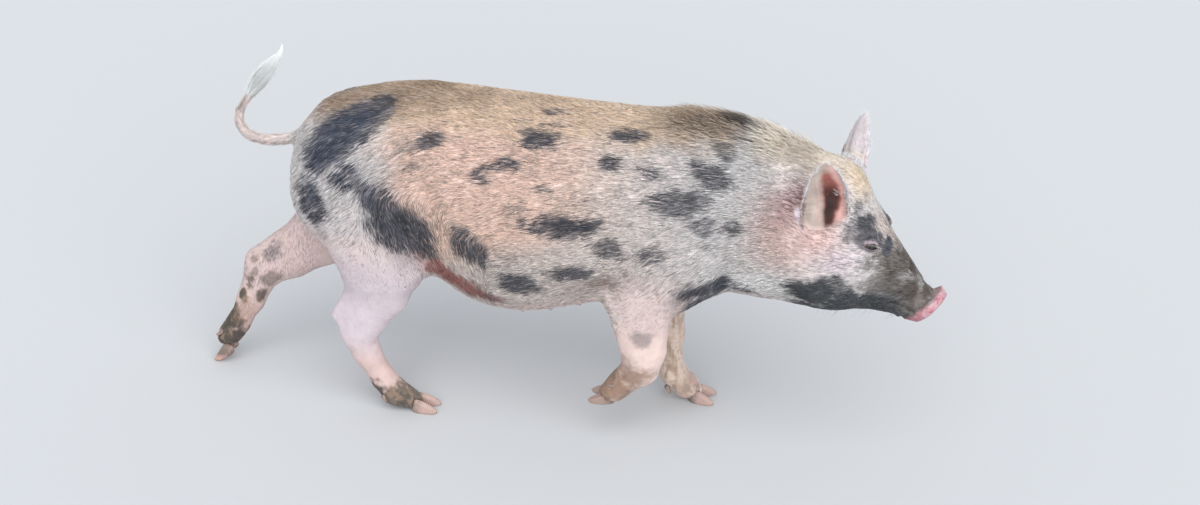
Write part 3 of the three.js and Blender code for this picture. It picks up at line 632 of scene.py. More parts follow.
# Patches of each tone. A row is the middle of a patch, half its length and height (mm), its turn (degrees,
# rising towards the head if positive), how strong it is and, round a leg, how deep it reaches (mm).
patches = {
    "black": [
        (-256, -60, 424, 62, 31, 40, 1.0),  # rump
        (-287, -75, 397, 34, 28, 25, 1.0),
        (-216, -36, 446, 17, 20, 0, 1.0),
        (-255, -95, 368, 24, 16, 25, 1.0),
        (-304, -89, 322, 31, 23, -55, 1.0),
        (-210, -102, 349, 27, 18, -8, 1.0),  # thigh
        (-186, -101, 305, 46, 37, -32, 1.0),
        (-164, -92, 275, 22, 22, 0, 1.0),
        (-93, -105, 291, 32, 20, -41, 0.95),  # flank
        (-146, -73, 419, 17, 10, 28, 0.9),
        (-77, -89, 388, 16, 11, 40, 0.8),
        (-60, -84, 398, 16, 7, 25, 0.75),
        (-45, -81, 404, 15, 9, 6, 0.9),
        (-9, -59, 430, 23, 13, 4, 1.0),
        (1, -19, 451, 16, 7, 8, 0.7),
        (-35, -40, 445, 11, 5, 8, 0.45),
        (14, -38, 444, 22, 4, 6, 0.55),
        (100, -42, 438, 22, 10, 5, 0.9),
        (83, -71, 413, 13, 10, 0, 0.95),
        (131, -76, 407, 18, 9, 4, 0.65),
        (207, -69, 410, 31, 14, -6, 0.85),  # shoulder
        (169, -92, 380, 36, 18, 3, 0.85),
        (223, -44, 432, 14, 10, -12, 0.65),
        (204, -94, 350, 14, 11, 0, 0.65),
        (238, -85, 346, 15, 9, 0, 0.75),
        (28, -104, 335, 46, 15, 1, 1.0),  # ribs
        (-32, -103, 349, 17, 9, 6, 0.4),
        (86, -102, 307, 20, 15, -20, 0.8),
        (141, -103, 305, 17, 11, 15, 0.75),
        (-27, -97, 239, 27, 18, -8, 0.95),  # belly
        (42, -99, 264, 28, 13, 2, 0.95),
        (210, -82, 251, 41, 15, -5, 1.0),  # brisket
        (196, -62, 236, 30, 18, 0, 0.95),
        (250, -64, 240, 17, 6, -22, 0.8),
        (0, -93, 381, 13, 6, 5, 0.45),
        (63, -94, 372, 11, 5, 5, 0.35),
        (105, -97, 272, 8, 4, 30, 0.6),
        (212, -94, 322, 12, 4, -4, 0.35),
        (425, -38, 320, 6, 12, -8, 0.95),  # eye
        (393, -28, 378, 3, 7, 10, 0.35),
        (-262, 70, 408, 46, 26, -30, 1.0),  # left side
        (-232, 98, 340, 30, 38, 20, 1.0),
        (-290, 86, 330, 20, 24, 10, 0.9),
        (-150, 96, 372, 30, 16, 18, 0.95),
        (-140, 104, 296, 22, 17, -30, 0.9),
        (-84, 78, 415, 24, 12, -8, 0.9),
        (-60, 106, 322, 36, 20, 6, 1.0),
        (-30, 96, 240, 22, 13, 5, 0.9),
        (12, 86, 402, 17, 11, 20, 0.8),
        (44, 104, 340, 15, 12, 0, 0.7),
        (66, 98, 274, 28, 14, -12, 0.95),
        (92, 60, 428, 26, 12, 3, 0.95),
        (140, 92, 380, 22, 24, 0, 0.95),
        (200, 84, 392, 20, 12, 10, 0.8),
        (186, 98, 318, 17, 13, -20, 0.8),
        (226, 78, 270, 30, 14, 0, 0.9),
        (262, 62, 372, 14, 9, 0, 0.7),
        (-236, 74, 424, 22, 16, 35, 0.95),
        (-286, 62, 392, 16, 12, -60, 0.8),
        (-222, 100, 312, 18, 22, 40, 0.95),
        (-246, 96, 372, 12, 9, 0, 0.7),
        (-128, 100, 364, 16, 9, 34, 0.85),
        (-168, 92, 384, 10, 5, 10, 0.5),
        (-122, 104, 286, 13, 9, 20, 0.6),
        (-38, 106, 312, 20, 13, -25, 0.95),
        (-86, 104, 334, 12, 7, 30, 0.6),
        (-12, 94, 246, 14, 8, 25, 0.7),
        (-110, 84, 408, 10, 5, 5, 0.45),
        (30, 82, 410, 8, 4, 20, 0.4),
        (58, 100, 350, 9, 5, 30, 0.5),
        (84, 96, 262, 14, 8, 25, 0.8),
        (148, 90, 364, 14, 9, -30, 0.85),
        (124, 88, 392, 9, 6, 20, 0.5),
        (172, 98, 306, 9, 6, 30, 0.5),
        (248, 70, 262, 13, 7, -25, 0.7),
        (20, 104, 300, 10, 4, 5, 0.35),
    ],
    "grey": [
        (-178, -77, 412, 16, 11, 6, 0.4),  # flank
        (-160, -89, 392, 11, 6, 6, 0.35),  # brisket
    ],
    "umber": [
        (-39, -107, 286, 11, 8, 8, 0.35),  # brisket
        (190, -14, 450, 40, 20, 0, 0.4),  # withers
        (229, 2, 447, 26, 13, -8, 0.95),
        (242, -22, 440, 9, 14, -20, 0.5),
        (-166, -90, 389, 14, 6, 8, 0.3),
        (-176, -81, 407, 14, 7, 8, 0.3),
        (456, -27, 285, 7, 7, 0, 0.95),  # muzzle
        (452, -50, 266, 14, 12, 10, 0.85),
        (441, -32, 303, 8, 5, 0, 0.6),
        (474, -34, 262, 6, 12, 10, 0.85),
        (470, 4, 262, 12, 12, 0, 0.6),  # left side
    ],
    "slate": [
        (127, -91, 175, 14, 14, 0, 0.5),  # forearm
        (393, -50, 350, 20, 16, 6, 0.8),  # eye
        (410, -50, 333, 20, 12, -28, 0.85),
        (381, -62, 338, 11, 7, 10, 0.6),
        (386, -44, 371, 7, 10, 10, 0.6),
        (396, 44, 346, 19, 14, 10, 0.75),  # left side
        (384, 60, 320, 12, 8, 0, 0.5),
        (-402, 13, 182, 15, 9, 48, 0.6),  # far hind leg
    ],
    "jaw": [
        (397, -48, 353, 13, 10, 20, 0.8),  # eye
        (338, -72, 262, 33, 21, 2, 1.0),  # jaw
        (356, -75, 273, 23, 16, 4, 0.8),
        (376, -64, 250, 28, 20, 0, 1.0),
        (410, -56, 243, 34, 15, -4, 1.0),
        (430, -54, 254, 18, 7, -20, 0.6),
        (396, -20, 234, 62, 60, 0, 1.0),
        (345, -20, 226, 38, 62, 0, 0.95),
        (360, 62, 250, 40, 18, 4, 1.0),  # left side
        (424, 22, 244, 34, 15, 4, 1.0),
    ],
    "muzzle": [
        (401, -62, 303, 9, 5, 8, 0.5),  # muzzle
        (418, -56, 273, 26, 13, 0, 0.5),
        (462, 6, 284, 22, 18, 0, 0.7),  # left side
    ],
    "groin": [
        (-148, -84, 243, 15, 15, 0, 0.95),  # groin
        (-131, -84, 235, 25, 18, -35, 1.0),
        (-104, -84, 218, 27, 17, -35, 0.95),
    ],
    "rose": [
        (-76, -82, 205, 22, 11, -25, 0.8),  # groin
    ],
    "mud": [
        (-407, 8, 141, 15, 11, 18, 0.6),  # far hind leg
        (-431, 13, 168, 5, 5, 0, 0.6),
        (-430, 8, 150, 9, 4, 40, 0.5),
        (-212, -50, 18, 38, 20, -20, 0.95, 30),  # near hind leg
        (72, -74, 76, 18, 3, 18, 0.7),  # near foreleg
        (84, -74, 92, 14, 3, 26, 0.5),
        (100, -76, 104, 10, 4, 20, 0.35),
        (136, 34, 44, 6, 16, 12, 0.7),  # far foreleg
        (150, 32, 34, 4, 14, -24, 0.6),
        (160, 36, 26, 14, 5, -24, 0.5),
    ],
    "darkMud": [
        (-437, 6, 138, 6, 5, 0, 0.7),  # far hind leg
        (-439, 6, 127, 5, 5, 0, 0.7),
        (-450, 8, 111, 8, 10, 9, 0.9),
        (-423, 8, 112, 8, 10, -23, 0.8),
        (-466, 6, 74, 16, 22, 8, 1.0, 15),
        (-472, 8, 44, 24, 18, 24, 1.0, 26),
        (-240, -54, 30, 16, 18, -30, 1.0, 22),  # near hind leg
        (-200, -70, 22, 18, 7, -25, 0.8),
        (172, 50, 18, 9, 8, 0, 0.7),  # far foreleg
    ],
    "tan": [
        (-446, 4, 92, 12, 22, -24, 0.4, 24),  # far hind leg
        (146, 32, 60, 4, 30, 4, 0.5),  # far foreleg
    ],
    "footTan": [
        (84, -58, 84, 38, 27, 30, 1.0, 34),  # near foreleg
        (112, -60, 112, 26, 20, 30, 0.85, 34),
        (104, -60, 132, 12, 14, 10, 0.5, 26),
        (150, 46, 32, 30, 26, 0, 0.7, 32),  # far foreleg
    ],
    "sand": [
        (142, 52, 90, 24, 110, 0, 0.85, 34),  # far foreleg
    ],
    "cream": [
        (160, 62, 60, 5, 34, 6, 0.9),  # far foreleg
    ],
}
patchEdge = {
    "lumps": [(9, 0.34, 11), (3.5, 0.24, 12)],  # size in mm, strength and seed of what makes the edges ragged
    "tiny": (2.2, 0.5, 13),  # the same for patches under the small size
    "small": 10,
    "middle": 1.05,
    "softness": {"jaw": 0.32, "slate": 0.48, "footTan": 0.5, "groin": 0.34, "tan": 0.45},
    "usual": 0.3,
    "depth": 60,  # how far into the body a patch reaches, mm
}


def patchLevels(places, normals):
    # how strong each tone is, from 0 to 1, and ragged at the edges of its patches
    ragged = sum(strength * softNoise(places, size * mm, seed) for size, strength, seed in patchEdge["lumps"])
    size, strength, seed = patchEdge["tiny"]
    tiny = strength * softNoise(places, size * mm, seed)
    levels = {}
    for tone, rows in patches.items():
        edge = patchEdge["softness"].get(tone, patchEdge["usual"])
        low, high = patchEdge["middle"] + edge, patchEdge["middle"] - edge
        levels[tone] = np.zeros(len(places))
        for x, y, z, a, b, turn, strong, *wrap in rows:
            centre = Vector((x, y, z)) * mm
            middle, out, _, _ = skinTree.find_nearest(centre)
            forward = (Vector((1, 0, 0)) - out * out.x).normalized()
            rising = forward.cross(out)
            rising = -rising if rising.z < 0 else rising
            if wrap:
                middle = centre
                forward, rising, out = Vector((1, 0, 0)), Vector((0, 0, 1)), Vector((0, 1, 0))
            angle = math.radians(turn)
            along = forward * math.cos(angle) + rising * math.sin(angle)
            across = rising * math.cos(angle) - forward * math.sin(angle)
            offset = (places - np.array(middle)) / mm
            near = np.linalg.norm(offset, axis=1) < 2.2 * max(a, b) + 12
            if not wrap:
                near &= normals @ np.array(out) > -0.1
            u = offset[near] @ np.array(along) / a
            v = offset[near] @ np.array(across) / b
            w = offset[near] @ np.array(out) / (wrap[0] if wrap else patchEdge["depth"])
            level = np.sqrt(u * u + v * v + w * w) + ragged[near] * min(1.0, 16 / b)
            level += tiny[near] * (b < patchEdge["small"])
            levels[tone][near] = np.maximum(levels[tone][near], strong * ramp(level, low, high))
    return levels


def laid(under, tone, amount):
    # one of the colours laid over others, by an amount from 0 to 1
    return mixed(under, colours[tone], amount)


def plain(tone, count):
    return np.tile(colours[tone], (count, 1))


def spot(places, centre, size):
    # a soft round area: 1 in its middle, 0 beyond its size, in mm
    reach = np.linalg.norm((places - np.array(centre)) / np.array(size), axis=1)
    return np.exp(-(reach**2))


def fineHair(places):
    # 1 on the lower ham and the upper foreleg, where the trunk's skin is as finely haired as the legs'
    x, y, z = (places / mm).T
    lump = 12 * softNoise(places, 30 * mm, 27)
    ham = ramp(x + lump, -150, -180) * ramp(x, -345, -325) * ramp(z + lump, 296, 262)
    arm = ramp(x + lump, 84, 100) * ramp(x + lump, 200, 168) * ramp(z + lump, 288, 232) * (np.abs(y) > 30)
    return np.clip(ham + arm, 0, 1)


def bodyLayers(places, legs, trunk, lump, fleck, fine):
    # the tones laid over the body's cream, from the first to the last, each with its amount
    x, y, z = (places / mm).T
    body = places / mm
    height = z + 10 * lump
    peach = ramp(height + 0.35 * np.clip(-x, -60, 120), 268, 345) * ramp(x + 20 * lump, 130, -40)
    peach *= ramp(x + 14 * lump, -216, -176)
    grizzle = trunk * np.clip(0.3 + 0.5 * fleck + 0.2 * lump, 0, 0.8)
    low = ramp(z, 320, 250) * ramp(x, -160, -120) * ramp(x, 80, 30)
    ham = ramp(z, 290, 210) * (y < 0) * ramp(x, -60, -120)
    return [
        # white, peach over the loin and flank, ginger and brown along the back
        ("white", ramp(x, 60, 170) * 0.7),
        ("peach", np.clip(0.2 * trunk * ramp(x, 240, 120) + 0.92 * peach, 0, 1)),
        ("ginger", 0.9 * trunk * ramp(height, 418, 446) * ramp(x, 262, 215)),
        ("brown", 0.6 * trunk * ramp(height, 444, 462) * ramp(x, 100, -60)),
        ("brown", 0.75 * trunk * ramp(x, -205, -290) * ramp(height, 392, 434)),
        ("brown", 0.55 * trunk * ramp(height, 432, 452) * ramp(x, 90, 160) * ramp(x, 262, 230)),
        ("brown", 0.5 * trunk * ramp(x, -120, -165) * ramp(height, 434, 450)),
        ("white", 0.7 * trunk * ramp(x, -176, -216) * ramp(height, 425, 395)),
        # greyer hair low on the flank and a little all over
        ("grey", grizzle * (0.6 * low + 0.16 * ramp(x, 150, 220) + 0.06)),
        ("grey", 0.3 * trunk * spot(body, (-207, -85, 378), (26, 60, 26))),
        # pink where the hair is thin
        ("pink", 0.95 * np.clip(legs * ramp(z, 330, 240) + 0.9 * fine, 0, 1)),
        ("lilac", 0.8 * np.clip(legs + fine, 0, 1) * ham),
        ("shin", 0.8 * legs * ramp(x, -120, -200) * ramp(z, 130, 60)),
    ]


def lowerLayers(places, normals, legs, trunk):
    # the same for the legs, the elbows and belly, the neck and the throat
    x, y, z = (places / mm).T
    body = places / mm
    throat = spot(body, (274, -62, 262), (34, 44, 22)) + spot(body, (274, 62, 262), (34, 44, 22))
    return [
        # rose over the far hind leg: partly its pinker skin, partly painted shade
        ("rose", 0.22 * legs * (y > 0) * ramp(x, -120, -200)),
        ("warmPink", 0.6 * legs * ramp(x, 40, 80)),
        # painted shade behind each elbow, in brown and rose
        ("elbow", 0.8 * trunk * spot(body, (80, -90, 250), (22, 40, 11))),
        ("rose", 0.35 * trunk * spot(body, (52, -88, 236), (26, 40, 12))),
        ("elbow", 0.6 * trunk * spot(body, (62, 90, 250), (22, 40, 11))),
        ("pink", 0.85 * trunk * ramp(normals[:, 2], -0.5, -0.85) * ramp(z, 270, 220)),
        # warm pink on the neck and cheek
        ("warmPink", 0.85 * spot(body, (302, -80, 325), (44, 60, 44))),
        ("warmPink", 0.7 * spot(body, (296, 80, 325), (38, 50, 44))),
        # painted light under the neck, which faces down: near white laid over its own pale hair
        ("throat", 0.97 * np.clip(1.4 * throat, 0, 1)),
    ]


def headLayers(places, shares, inHead, muzzle, lump, fleck, mottle):
    # the same for the head
    x, _, z = (places / mm).T
    head = toHead(places)
    far = np.abs(head[:, 1])
    profile = head[:, ::2]
    flush = spot(profile, (306, 366), (27, 36)) * (far > 36)
    shadeBehindEar = spot(profile, (325, 380), (17, 28)) * (far > 40)
    belowEar = spot(profile, (338, 330), (24, 17)) * (far > 40)
    cheek = spot(profile, (380, 308), (26, 20)) * (far > 25)
    nape = ramp(x + 8 * lump, 238, 262) * ramp(z + 0.22 * (x - 300), 404, 428)
    nape *= 1 - inHead * ramp(head[:, 0], 372, 400)
    forelock = spot(head[:, :2], (385, 0), (17, 26)) * ramp(head[:, 2], 356, 384)
    bridge = inHead * bell(head[:, 1], 24) * ramp(head[:, 0], 398, 420) * ramp(head[:, 2], 296, 316)
    root = spot(profile, (352, 340), (30, 24)) * (far > 40)
    return [
        # pink behind the ears, and painted shade in rose just behind each ear
        ("flush", 0.6 * flush),
        ("rose", 0.95 * np.clip(1.3 * shadeBehindEar, 0, 1)),
        ("pink", 0.8 * belowEar),
        ("lilac", 0.9 * cheek * inHead),
        # cream over the nape, yellow between the ears
        ("cream", 0.7 * ramp(x, 245, 285) * ramp(z, 385, 420) * (1 - shadeBehindEar)),
        ("yellow", 0.85 * nape * (1 - 0.8 * share(shares, "ear"))),
        ("forelock", 0.85 * np.clip(1.2 * forelock, 0, 1)),
        # grey down the bridge, and speckles of brown all over the muzzle
        ("beige", 0.75 * bridge),
        ("muzzle", muzzle * np.clip(0.96 + 0.4 * lump + 0.35 * fleck, 0.55, 1)),
        ("umber", 0.7 * muzzle * ramp(mottle, 0.15, 0.6)),
        ("earRoot", 0.75 * root),
    ]


def layered(coat, layers):
    for tone, amount in layers:
        coat = laid(coat, tone, amount)
    return coat


def earBacks(places, shares):
    # 1 on the outer face of each ear
    onEar = np.zeros(len(places))
    for name in ("left", "right"):
        ahead, aside, above = inFrame(earFrame(name), places).T
        onEar += ramp(above, 30, 48) * ramp(np.abs(ahead + 8), 20, 14) * (np.abs(aside) < 40)
    return onEar * ramp(share(shares, "ear"), 0.45, 0.9)


def snoutPlate(places, lump, fleck):
    # the colour of the snout's disc with painted shade in its nostrils, and where the disc is
    out, side, up = toSnout(places)
    reach = np.hypot(side / snoutDisc["wide"], up / snoutDisc["tall"])
    disc = ramp(out + 2.5 * fleck, -7.5, -3.5) * ramp(reach, 1.4, 1.25)
    red = np.clip(0.45 + 1.1 * lump + 0.8 * fleck, 0, 1) * (0.25 + 0.75 * ramp(reach, 0.72, 0.98))
    speck = 0.6 * softNoise(places, 2.2 * mm, 24) + 0.6 * softNoise(places, 6 * mm, 28)
    plate = laid(plain("snout", len(places)), "snoutRed", 0.62 * red)
    plate = laid(plate, "lilac", 0.35 * ramp(speck, 0.1, 0.6))
    dark = 0.6 * ramp(speck, -0.25, -0.6) + 0.3 * ramp(up, -10, -26)
    plate = mixed(plate, colours["snoutRed"] * 0.6, dark)
    # painted shade: the nostrils darkened to near black
    hole = inNostril(side, up, nostril["wide"], nostril["tall"])
    return laid(plate, "deep", 0.9 * ramp(hole, 1.25, 0.8) * ramp(out, 6.4, 4.5)), disc


def roundEye(side, places, ragged):
    # a dusky mask round the eye, a pale upper lid, and the dark margins of the lids
    across, rise, out = inFrame(eyeFrame(side), places).T
    reach = np.hypot((across + 3) / 21, (rise - 4) / 13)
    mask = (out > -12) * ramp(reach + ragged, 1.15, 0.8)
    edge = inSlit(across, rise)
    above = rise + eye["slitDown"] - eye["slitHeight"] * (1 - (across / eye["halfSlit"]) ** 2)
    near = (out > 1) * ramp(np.hypot(across, rise), 15, 12)
    pale = near * ramp(above, 0.6, 1.4) * ramp(above, 6.5, 4.0) * ramp(np.abs(across + 1), 10.5, 7)
    return mask, pale, near * ramp(edge, -0.5, -0.2) * (above < 1.2)


def tailSpeckle(places, normals, fleck):
    # brown speckles on the outer side of the tail
    outer = unit(places / mm - np.array([-389, 0, 398])) * normals
    outer = ramp(outer.sum(axis=1), -0.1, 0.5) * ramp(places[:, 2] / mm, 430, 400)
    return outer * ramp(softNoise(places, 4.5 * mm, 23) + 0.5 * fleck, -0.15, 0.35)


def coatColours(places, normals, shares, chance=None):
    # The coat's colour at each place and the bare skin's. With a chance for each tuft, tufts are either
    # dark or light inside a patch's ragged edge, as hairs are.
    x, y, z = (places / mm).T
    head = toHead(places)
    count = len(places)
    legs = share(shares, "thigh", "forearm", "cannon", "foot")
    inHead = share(shares, "head", "snout", "ear")
    trunk = share(shares, "trunk", "neck")
    lump = softNoise(places, 26 * mm, 21)
    fleck = softNoise(places * np.array([0.4, 1, 1]), 4 * mm, 22)
    mottle = 0.6 * softNoise(places, 7 * mm, 25) + 0.5 * softNoise(places, 2.8 * mm, 26)
    fine = fineHair(places)
    muzzle = inHead * ramp(head[:, 0] + 0.35 * (head[:, 2] - 280), 408, 440) * ramp(head[:, 2], 332, 308)
    onEar = earBacks(places, shares)
    coat = layered(plain("cream", count), bodyLayers(places, legs, trunk, lump, fleck, fine))
    coat = mixed(coat, coat * 0.89, legs)
    coat = layered(coat, lowerLayers(places, normals, legs, trunk))
    coat = layered(coat, headLayers(places, shares, inHead, muzzle, lump, fleck, mottle))
    coat = laid(coat, "earBack", 0.75 * onEar)
    coat = mixed(coat, coat * 0.84, inHead * (1 - 0.5 * muzzle) * (1 - onEar))
    bare = laid(coat, "pink", 0.3 * (1 - muzzle))
    bare = laid(bare, "rose", 0.14 * trunk)
    skinOnly = np.clip(1.4 * legs + fine, 0, 1) * ramp(z, 330, 250)
    bare = mixed(bare, coat, skinOnly)
    # painted shade: the bare skin under the fine hair made darker, standing in for the shade of a fuller coat
    bare = mixed(bare, bare * 0.82, fine * ramp(z, 160, 205))
    for tone, level in patchLevels(places, normals).items():
        tint = plain(tone, count)
        if tone == "black":
            tint = laid(tint, "blueBlack", ramp(x, -190, -250) * ramp(z, 300, 350))
            tint = laid(tint, "salt", np.clip(0.1 + 0.3 * fleck, 0, 0.4))
        if tone in ("mud", "darkMud", "footTan", "sand"):
            tint = laid(tint, "tan", 0.45 * ramp(mottle, 0.0, 0.5))
            tint = laid(tint, "darkMud", 0.35 * ramp(mottle, -0.1, -0.6))
        if chance is not None and tone in ("black", "umber", "slate", "jaw"):
            level = 0.35 * level + 0.65 * ramp(level - chance, -0.2, 0.2)
        coat = mixed(coat, tint, level)
        bare = mixed(bare, tint, np.clip(level * 1.1, 0, 1))
    # streaks of dried mud down the far foreleg
    streak = softNoise(places * np.array([1, 1, 0.14]), 3.2 * mm, 29)
    farFore = legs * (y > 18) * (x > 90) * ramp(z, 235, 195)
    for value in (coat, bare):
        value[:] = laid(value, "brown", 0.6 * farFore * ramp(streak, 0.0, 0.5) * ramp(x, 158, 148))
    plate, disc = snoutPlate(places, lump, fleck)
    coat = mixed(coat, plate, disc * inHead)
    bare = mixed(bare, plate, disc * inHead)
    # inside the ears, with the painted shade of their hollows
    for name in ("left", "right"):
        local, facing = inFrame(earFrame(name), places, normals)
        inner, rim, tint = earInside(name, local, facing)
        tint = mixed(tint, tint * 0.86, np.clip(0.5 + fleck, 0, 1) * (1 - rim))
        bare = mixed(bare, tint, inner)
        coat = mixed(coat, tint, inner * (1 - 0.6 * rim))
    tailShare = share(shares, "tail") * ramp(x, -352, -364)
    coat = laid(coat, "pink", 0.55 * tailShare)
    coat = laid(coat, "mud", 0.62 * tailShare * tailSpeckle(places, normals, fleck))
    bare = mixed(bare, coat, tailShare)
    dusk = laid(plain("slate", count), "jaw", np.clip(0.4 + 0.8 * lump, 0, 1))
    for side in (-1, 1):
        mask, pale, margin = roundEye(side, places, 0.16 * lump + 0.16 * fleck)
        for value in (coat, bare):
            value[:] = mixed(value, dusk, 0.88 * inHead * mask)
            value[:] = laid(value, "lid", 0.85 * pale)
            value[:] = laid(value, "deep", 0.9 * margin)
    return coat, bare


def earInside(name, local, facing):
    # how far a place is inside the ear and on its rim, and the bare skin's colour there, with painted shade
    # in the ear's hollow
    x, y, z = local.T
    y = y * -ear[name]["side"]
    across = np.abs(y) / earHalf(name, z)
    behind = np.interp(y, [-18, 0], [-18, -30])  # where the back of the leaf is
    near = (z > 8) * (z < ear["length"] + 4) * ramp(across, 1.2, 1.06) * ramp(x - behind, -4, 0) * (x < 14)
    inner = near * ramp(facing[:, 0], 0.0, 0.35) * ramp(z - 10 * ramp(np.abs(y), 4, 24), 16, 30)
    rim = near * ramp(across, 0.86, 0.95)
    ragged = 1.4 * np.sin(z * 0.23 + 1) + 0.7 * np.sin(z * 0.51)
    middle = np.interp(z, [20, 45, 65, 85, 110], [3, 8, 11, 7, 1]) + 0.5 * ragged
    wide = np.interp(z, [16, 45, 65, 85, 115], [3, 8, 11.5, 10, 4]) + 0.3 * ragged
    ends = ramp(z, 14, 30) * ramp(z, 118, 98)
    bowl = np.exp(-(np.abs((y - middle) / wide) ** 3)) * ends
    tint = laid(plain("beige", len(y)), "earPink", ramp(y - middle, 0, 8))
    tint = laid(tint, "earRed", np.clip(1.15 * bowl, 0, 1))
    # painted shade: dark brown down the middle of the ear's bowl, near black at its core
    tint = laid(tint, "hollow", ramp(bowl, 0.15, 0.95) * ramp(z, 100, 64))
    canalShade = np.exp(-(((y - middle + 2) / 6) ** 2 + ((z - 50) / 17) ** 2))
    tint = laid(tint, "deep", np.clip(1.3 * canalShade, 0, 1))
    rib = bell(y - middle + wide + 7, 1.6) * ramp(z, 100, 80)
    tint = laid(tint, "earPink", 0.5 * rib)
    return inner, rim * inner, mixed(tint, colours["lilac"] * 1.15, 0.95 * rim)


def paintSkin():
    mesh = skin.data
    _, bare = coatColours(placesOf(mesh), normalsOf(mesh), skinShares)
    setColour(mesh, np.clip(bare, 0, 1))
    out, side, up = toSnout(placesOf(mesh))
    setFloat(mesh, "moist", ramp(out, -5, -1) * ramp(np.hypot(side, up), 40, 34))


paintSkin()
print("skin painted")


# materials
def tonedColour(material, scale, detail, low, high):
    # the piece's own colour, made darker and lighter by fine noise; also gives the noise and its places. The
    # scale is how many lumps there are to a metre.
    places = addNode(material, "ShaderNodeTexCoord")
    colour = addNode(material, "ShaderNodeAttribute", {"attribute_name": "coatColour"})
    grain = {"Scale": scale, "Detail": detail}
    noise = addNode(material, "ShaderNodeTexNoise", grain, {"Vector": (places, "Object")})
    limits = {"To Min": low, "To Max": high}
    tone = addNode(material, "ShaderNodeMapRange", limits, {"Value": (noise, "Fac")})
    toned = addNode(material, "ShaderNodeVectorMath", {"operation": "SCALE"},
                    {0: (colour, "Color"), "Scale": (tone, "Result")})
    return toned, noise, places


hide = {
    "mottle": (90.0, 3.0, 0.84, 1.14),  # blotches 11 mm across; scale, detail, darkest and lightest tone
    "creases": {"Scale": 260.0, "Detail": 5.0, "Roughness": 0.65},  # 3.8 mm apart
    "creaseDepth": {"Strength": 0.5, "Distance": 0.0006},
    "pores": {"Scale": 620.0},  # 1.6 mm apart
    "poreDepth": {"Distance": 0.0005},
    "gloss": {"To Min": 0.6, "To Max": 0.36},  # roughness, from dry to moist
    "pebbles": {"To Min": 0.35, "To Max": 0.9},  # how strongly the pores show, from dry to moist
    "shader": {"IOR": 1.4, "Subsurface Weight": 0.06, "Subsurface Scale": 0.004},
}


def skinMaterial():
    # pig's hide: soft and fine pored, waxy, and moist on the disc of the snout
    material = newMaterial("pigHide")
    toned, _, places = tonedColour(material, *hide["mottle"])
    moist = addNode(material, "ShaderNodeAttribute", {"attribute_name": "moist"})
    gloss = addNode(material, "ShaderNodeMapRange", hide["gloss"], {"Value": (moist, "Fac")})
    pebbles = addNode(material, "ShaderNodeMapRange", hide["pebbles"], {"Value": (moist, "Fac")})
    pores = addNode(material, "ShaderNodeTexVoronoi", hide["pores"], {"Vector": (places, "Object")})
    creases = addNode(material, "ShaderNodeTexNoise", hide["creases"], {"Vector": (places, "Object")})
    bumps = addNode(material, "ShaderNodeBump", hide["creaseDepth"], {"Height": (creases, "Fac")})
    links = {"Height": (pores, "Distance"), "Normal": (bumps, "Normal"), "Strength": (pebbles, "Result")}
    fine = addNode(material, "ShaderNodeBump", hide["poreDepth"], links)
    links = {"Base Color": (toned, "Vector"), "Roughness": (gloss, "Result"), "Normal": (fine, "Normal")}
    shader = addNode(material, "ShaderNodeBsdfPrincipled", hide["shader"], links)
    addNode(material, "ShaderNodeOutputMaterial", None, {"Surface": (shader, "BSDF")})
    return material


def hairMaterial(name, roughness, sheen):
    # bristle: stiff, smooth hair with a dull silky shine; sheen: how bright its fine ends are
    material = newMaterial(name)
    toned, _, _ = tonedColour(material, 700.0, 2.0, 0.88, 1.12)  # shades 1.4 mm long
    settings = {"Roughness": roughness, "IOR": 1.45, "Sheen Weight": sheen, "Sheen Roughness": 0.6}
    shader = addNode(material, "ShaderNodeBsdfPrincipled", settings, {"Base Color": (toned, "Vector")})
    addNode(material, "ShaderNodeOutputMaterial", None, {"Surface": (shader, "BSDF")})
    return material


skin.data.materials.append(skinMaterial())
bristle = hairMaterial("pigBristle", 0.6, 0.0)
silk = hairMaterial("tailBristle", 0.5, 0.5)


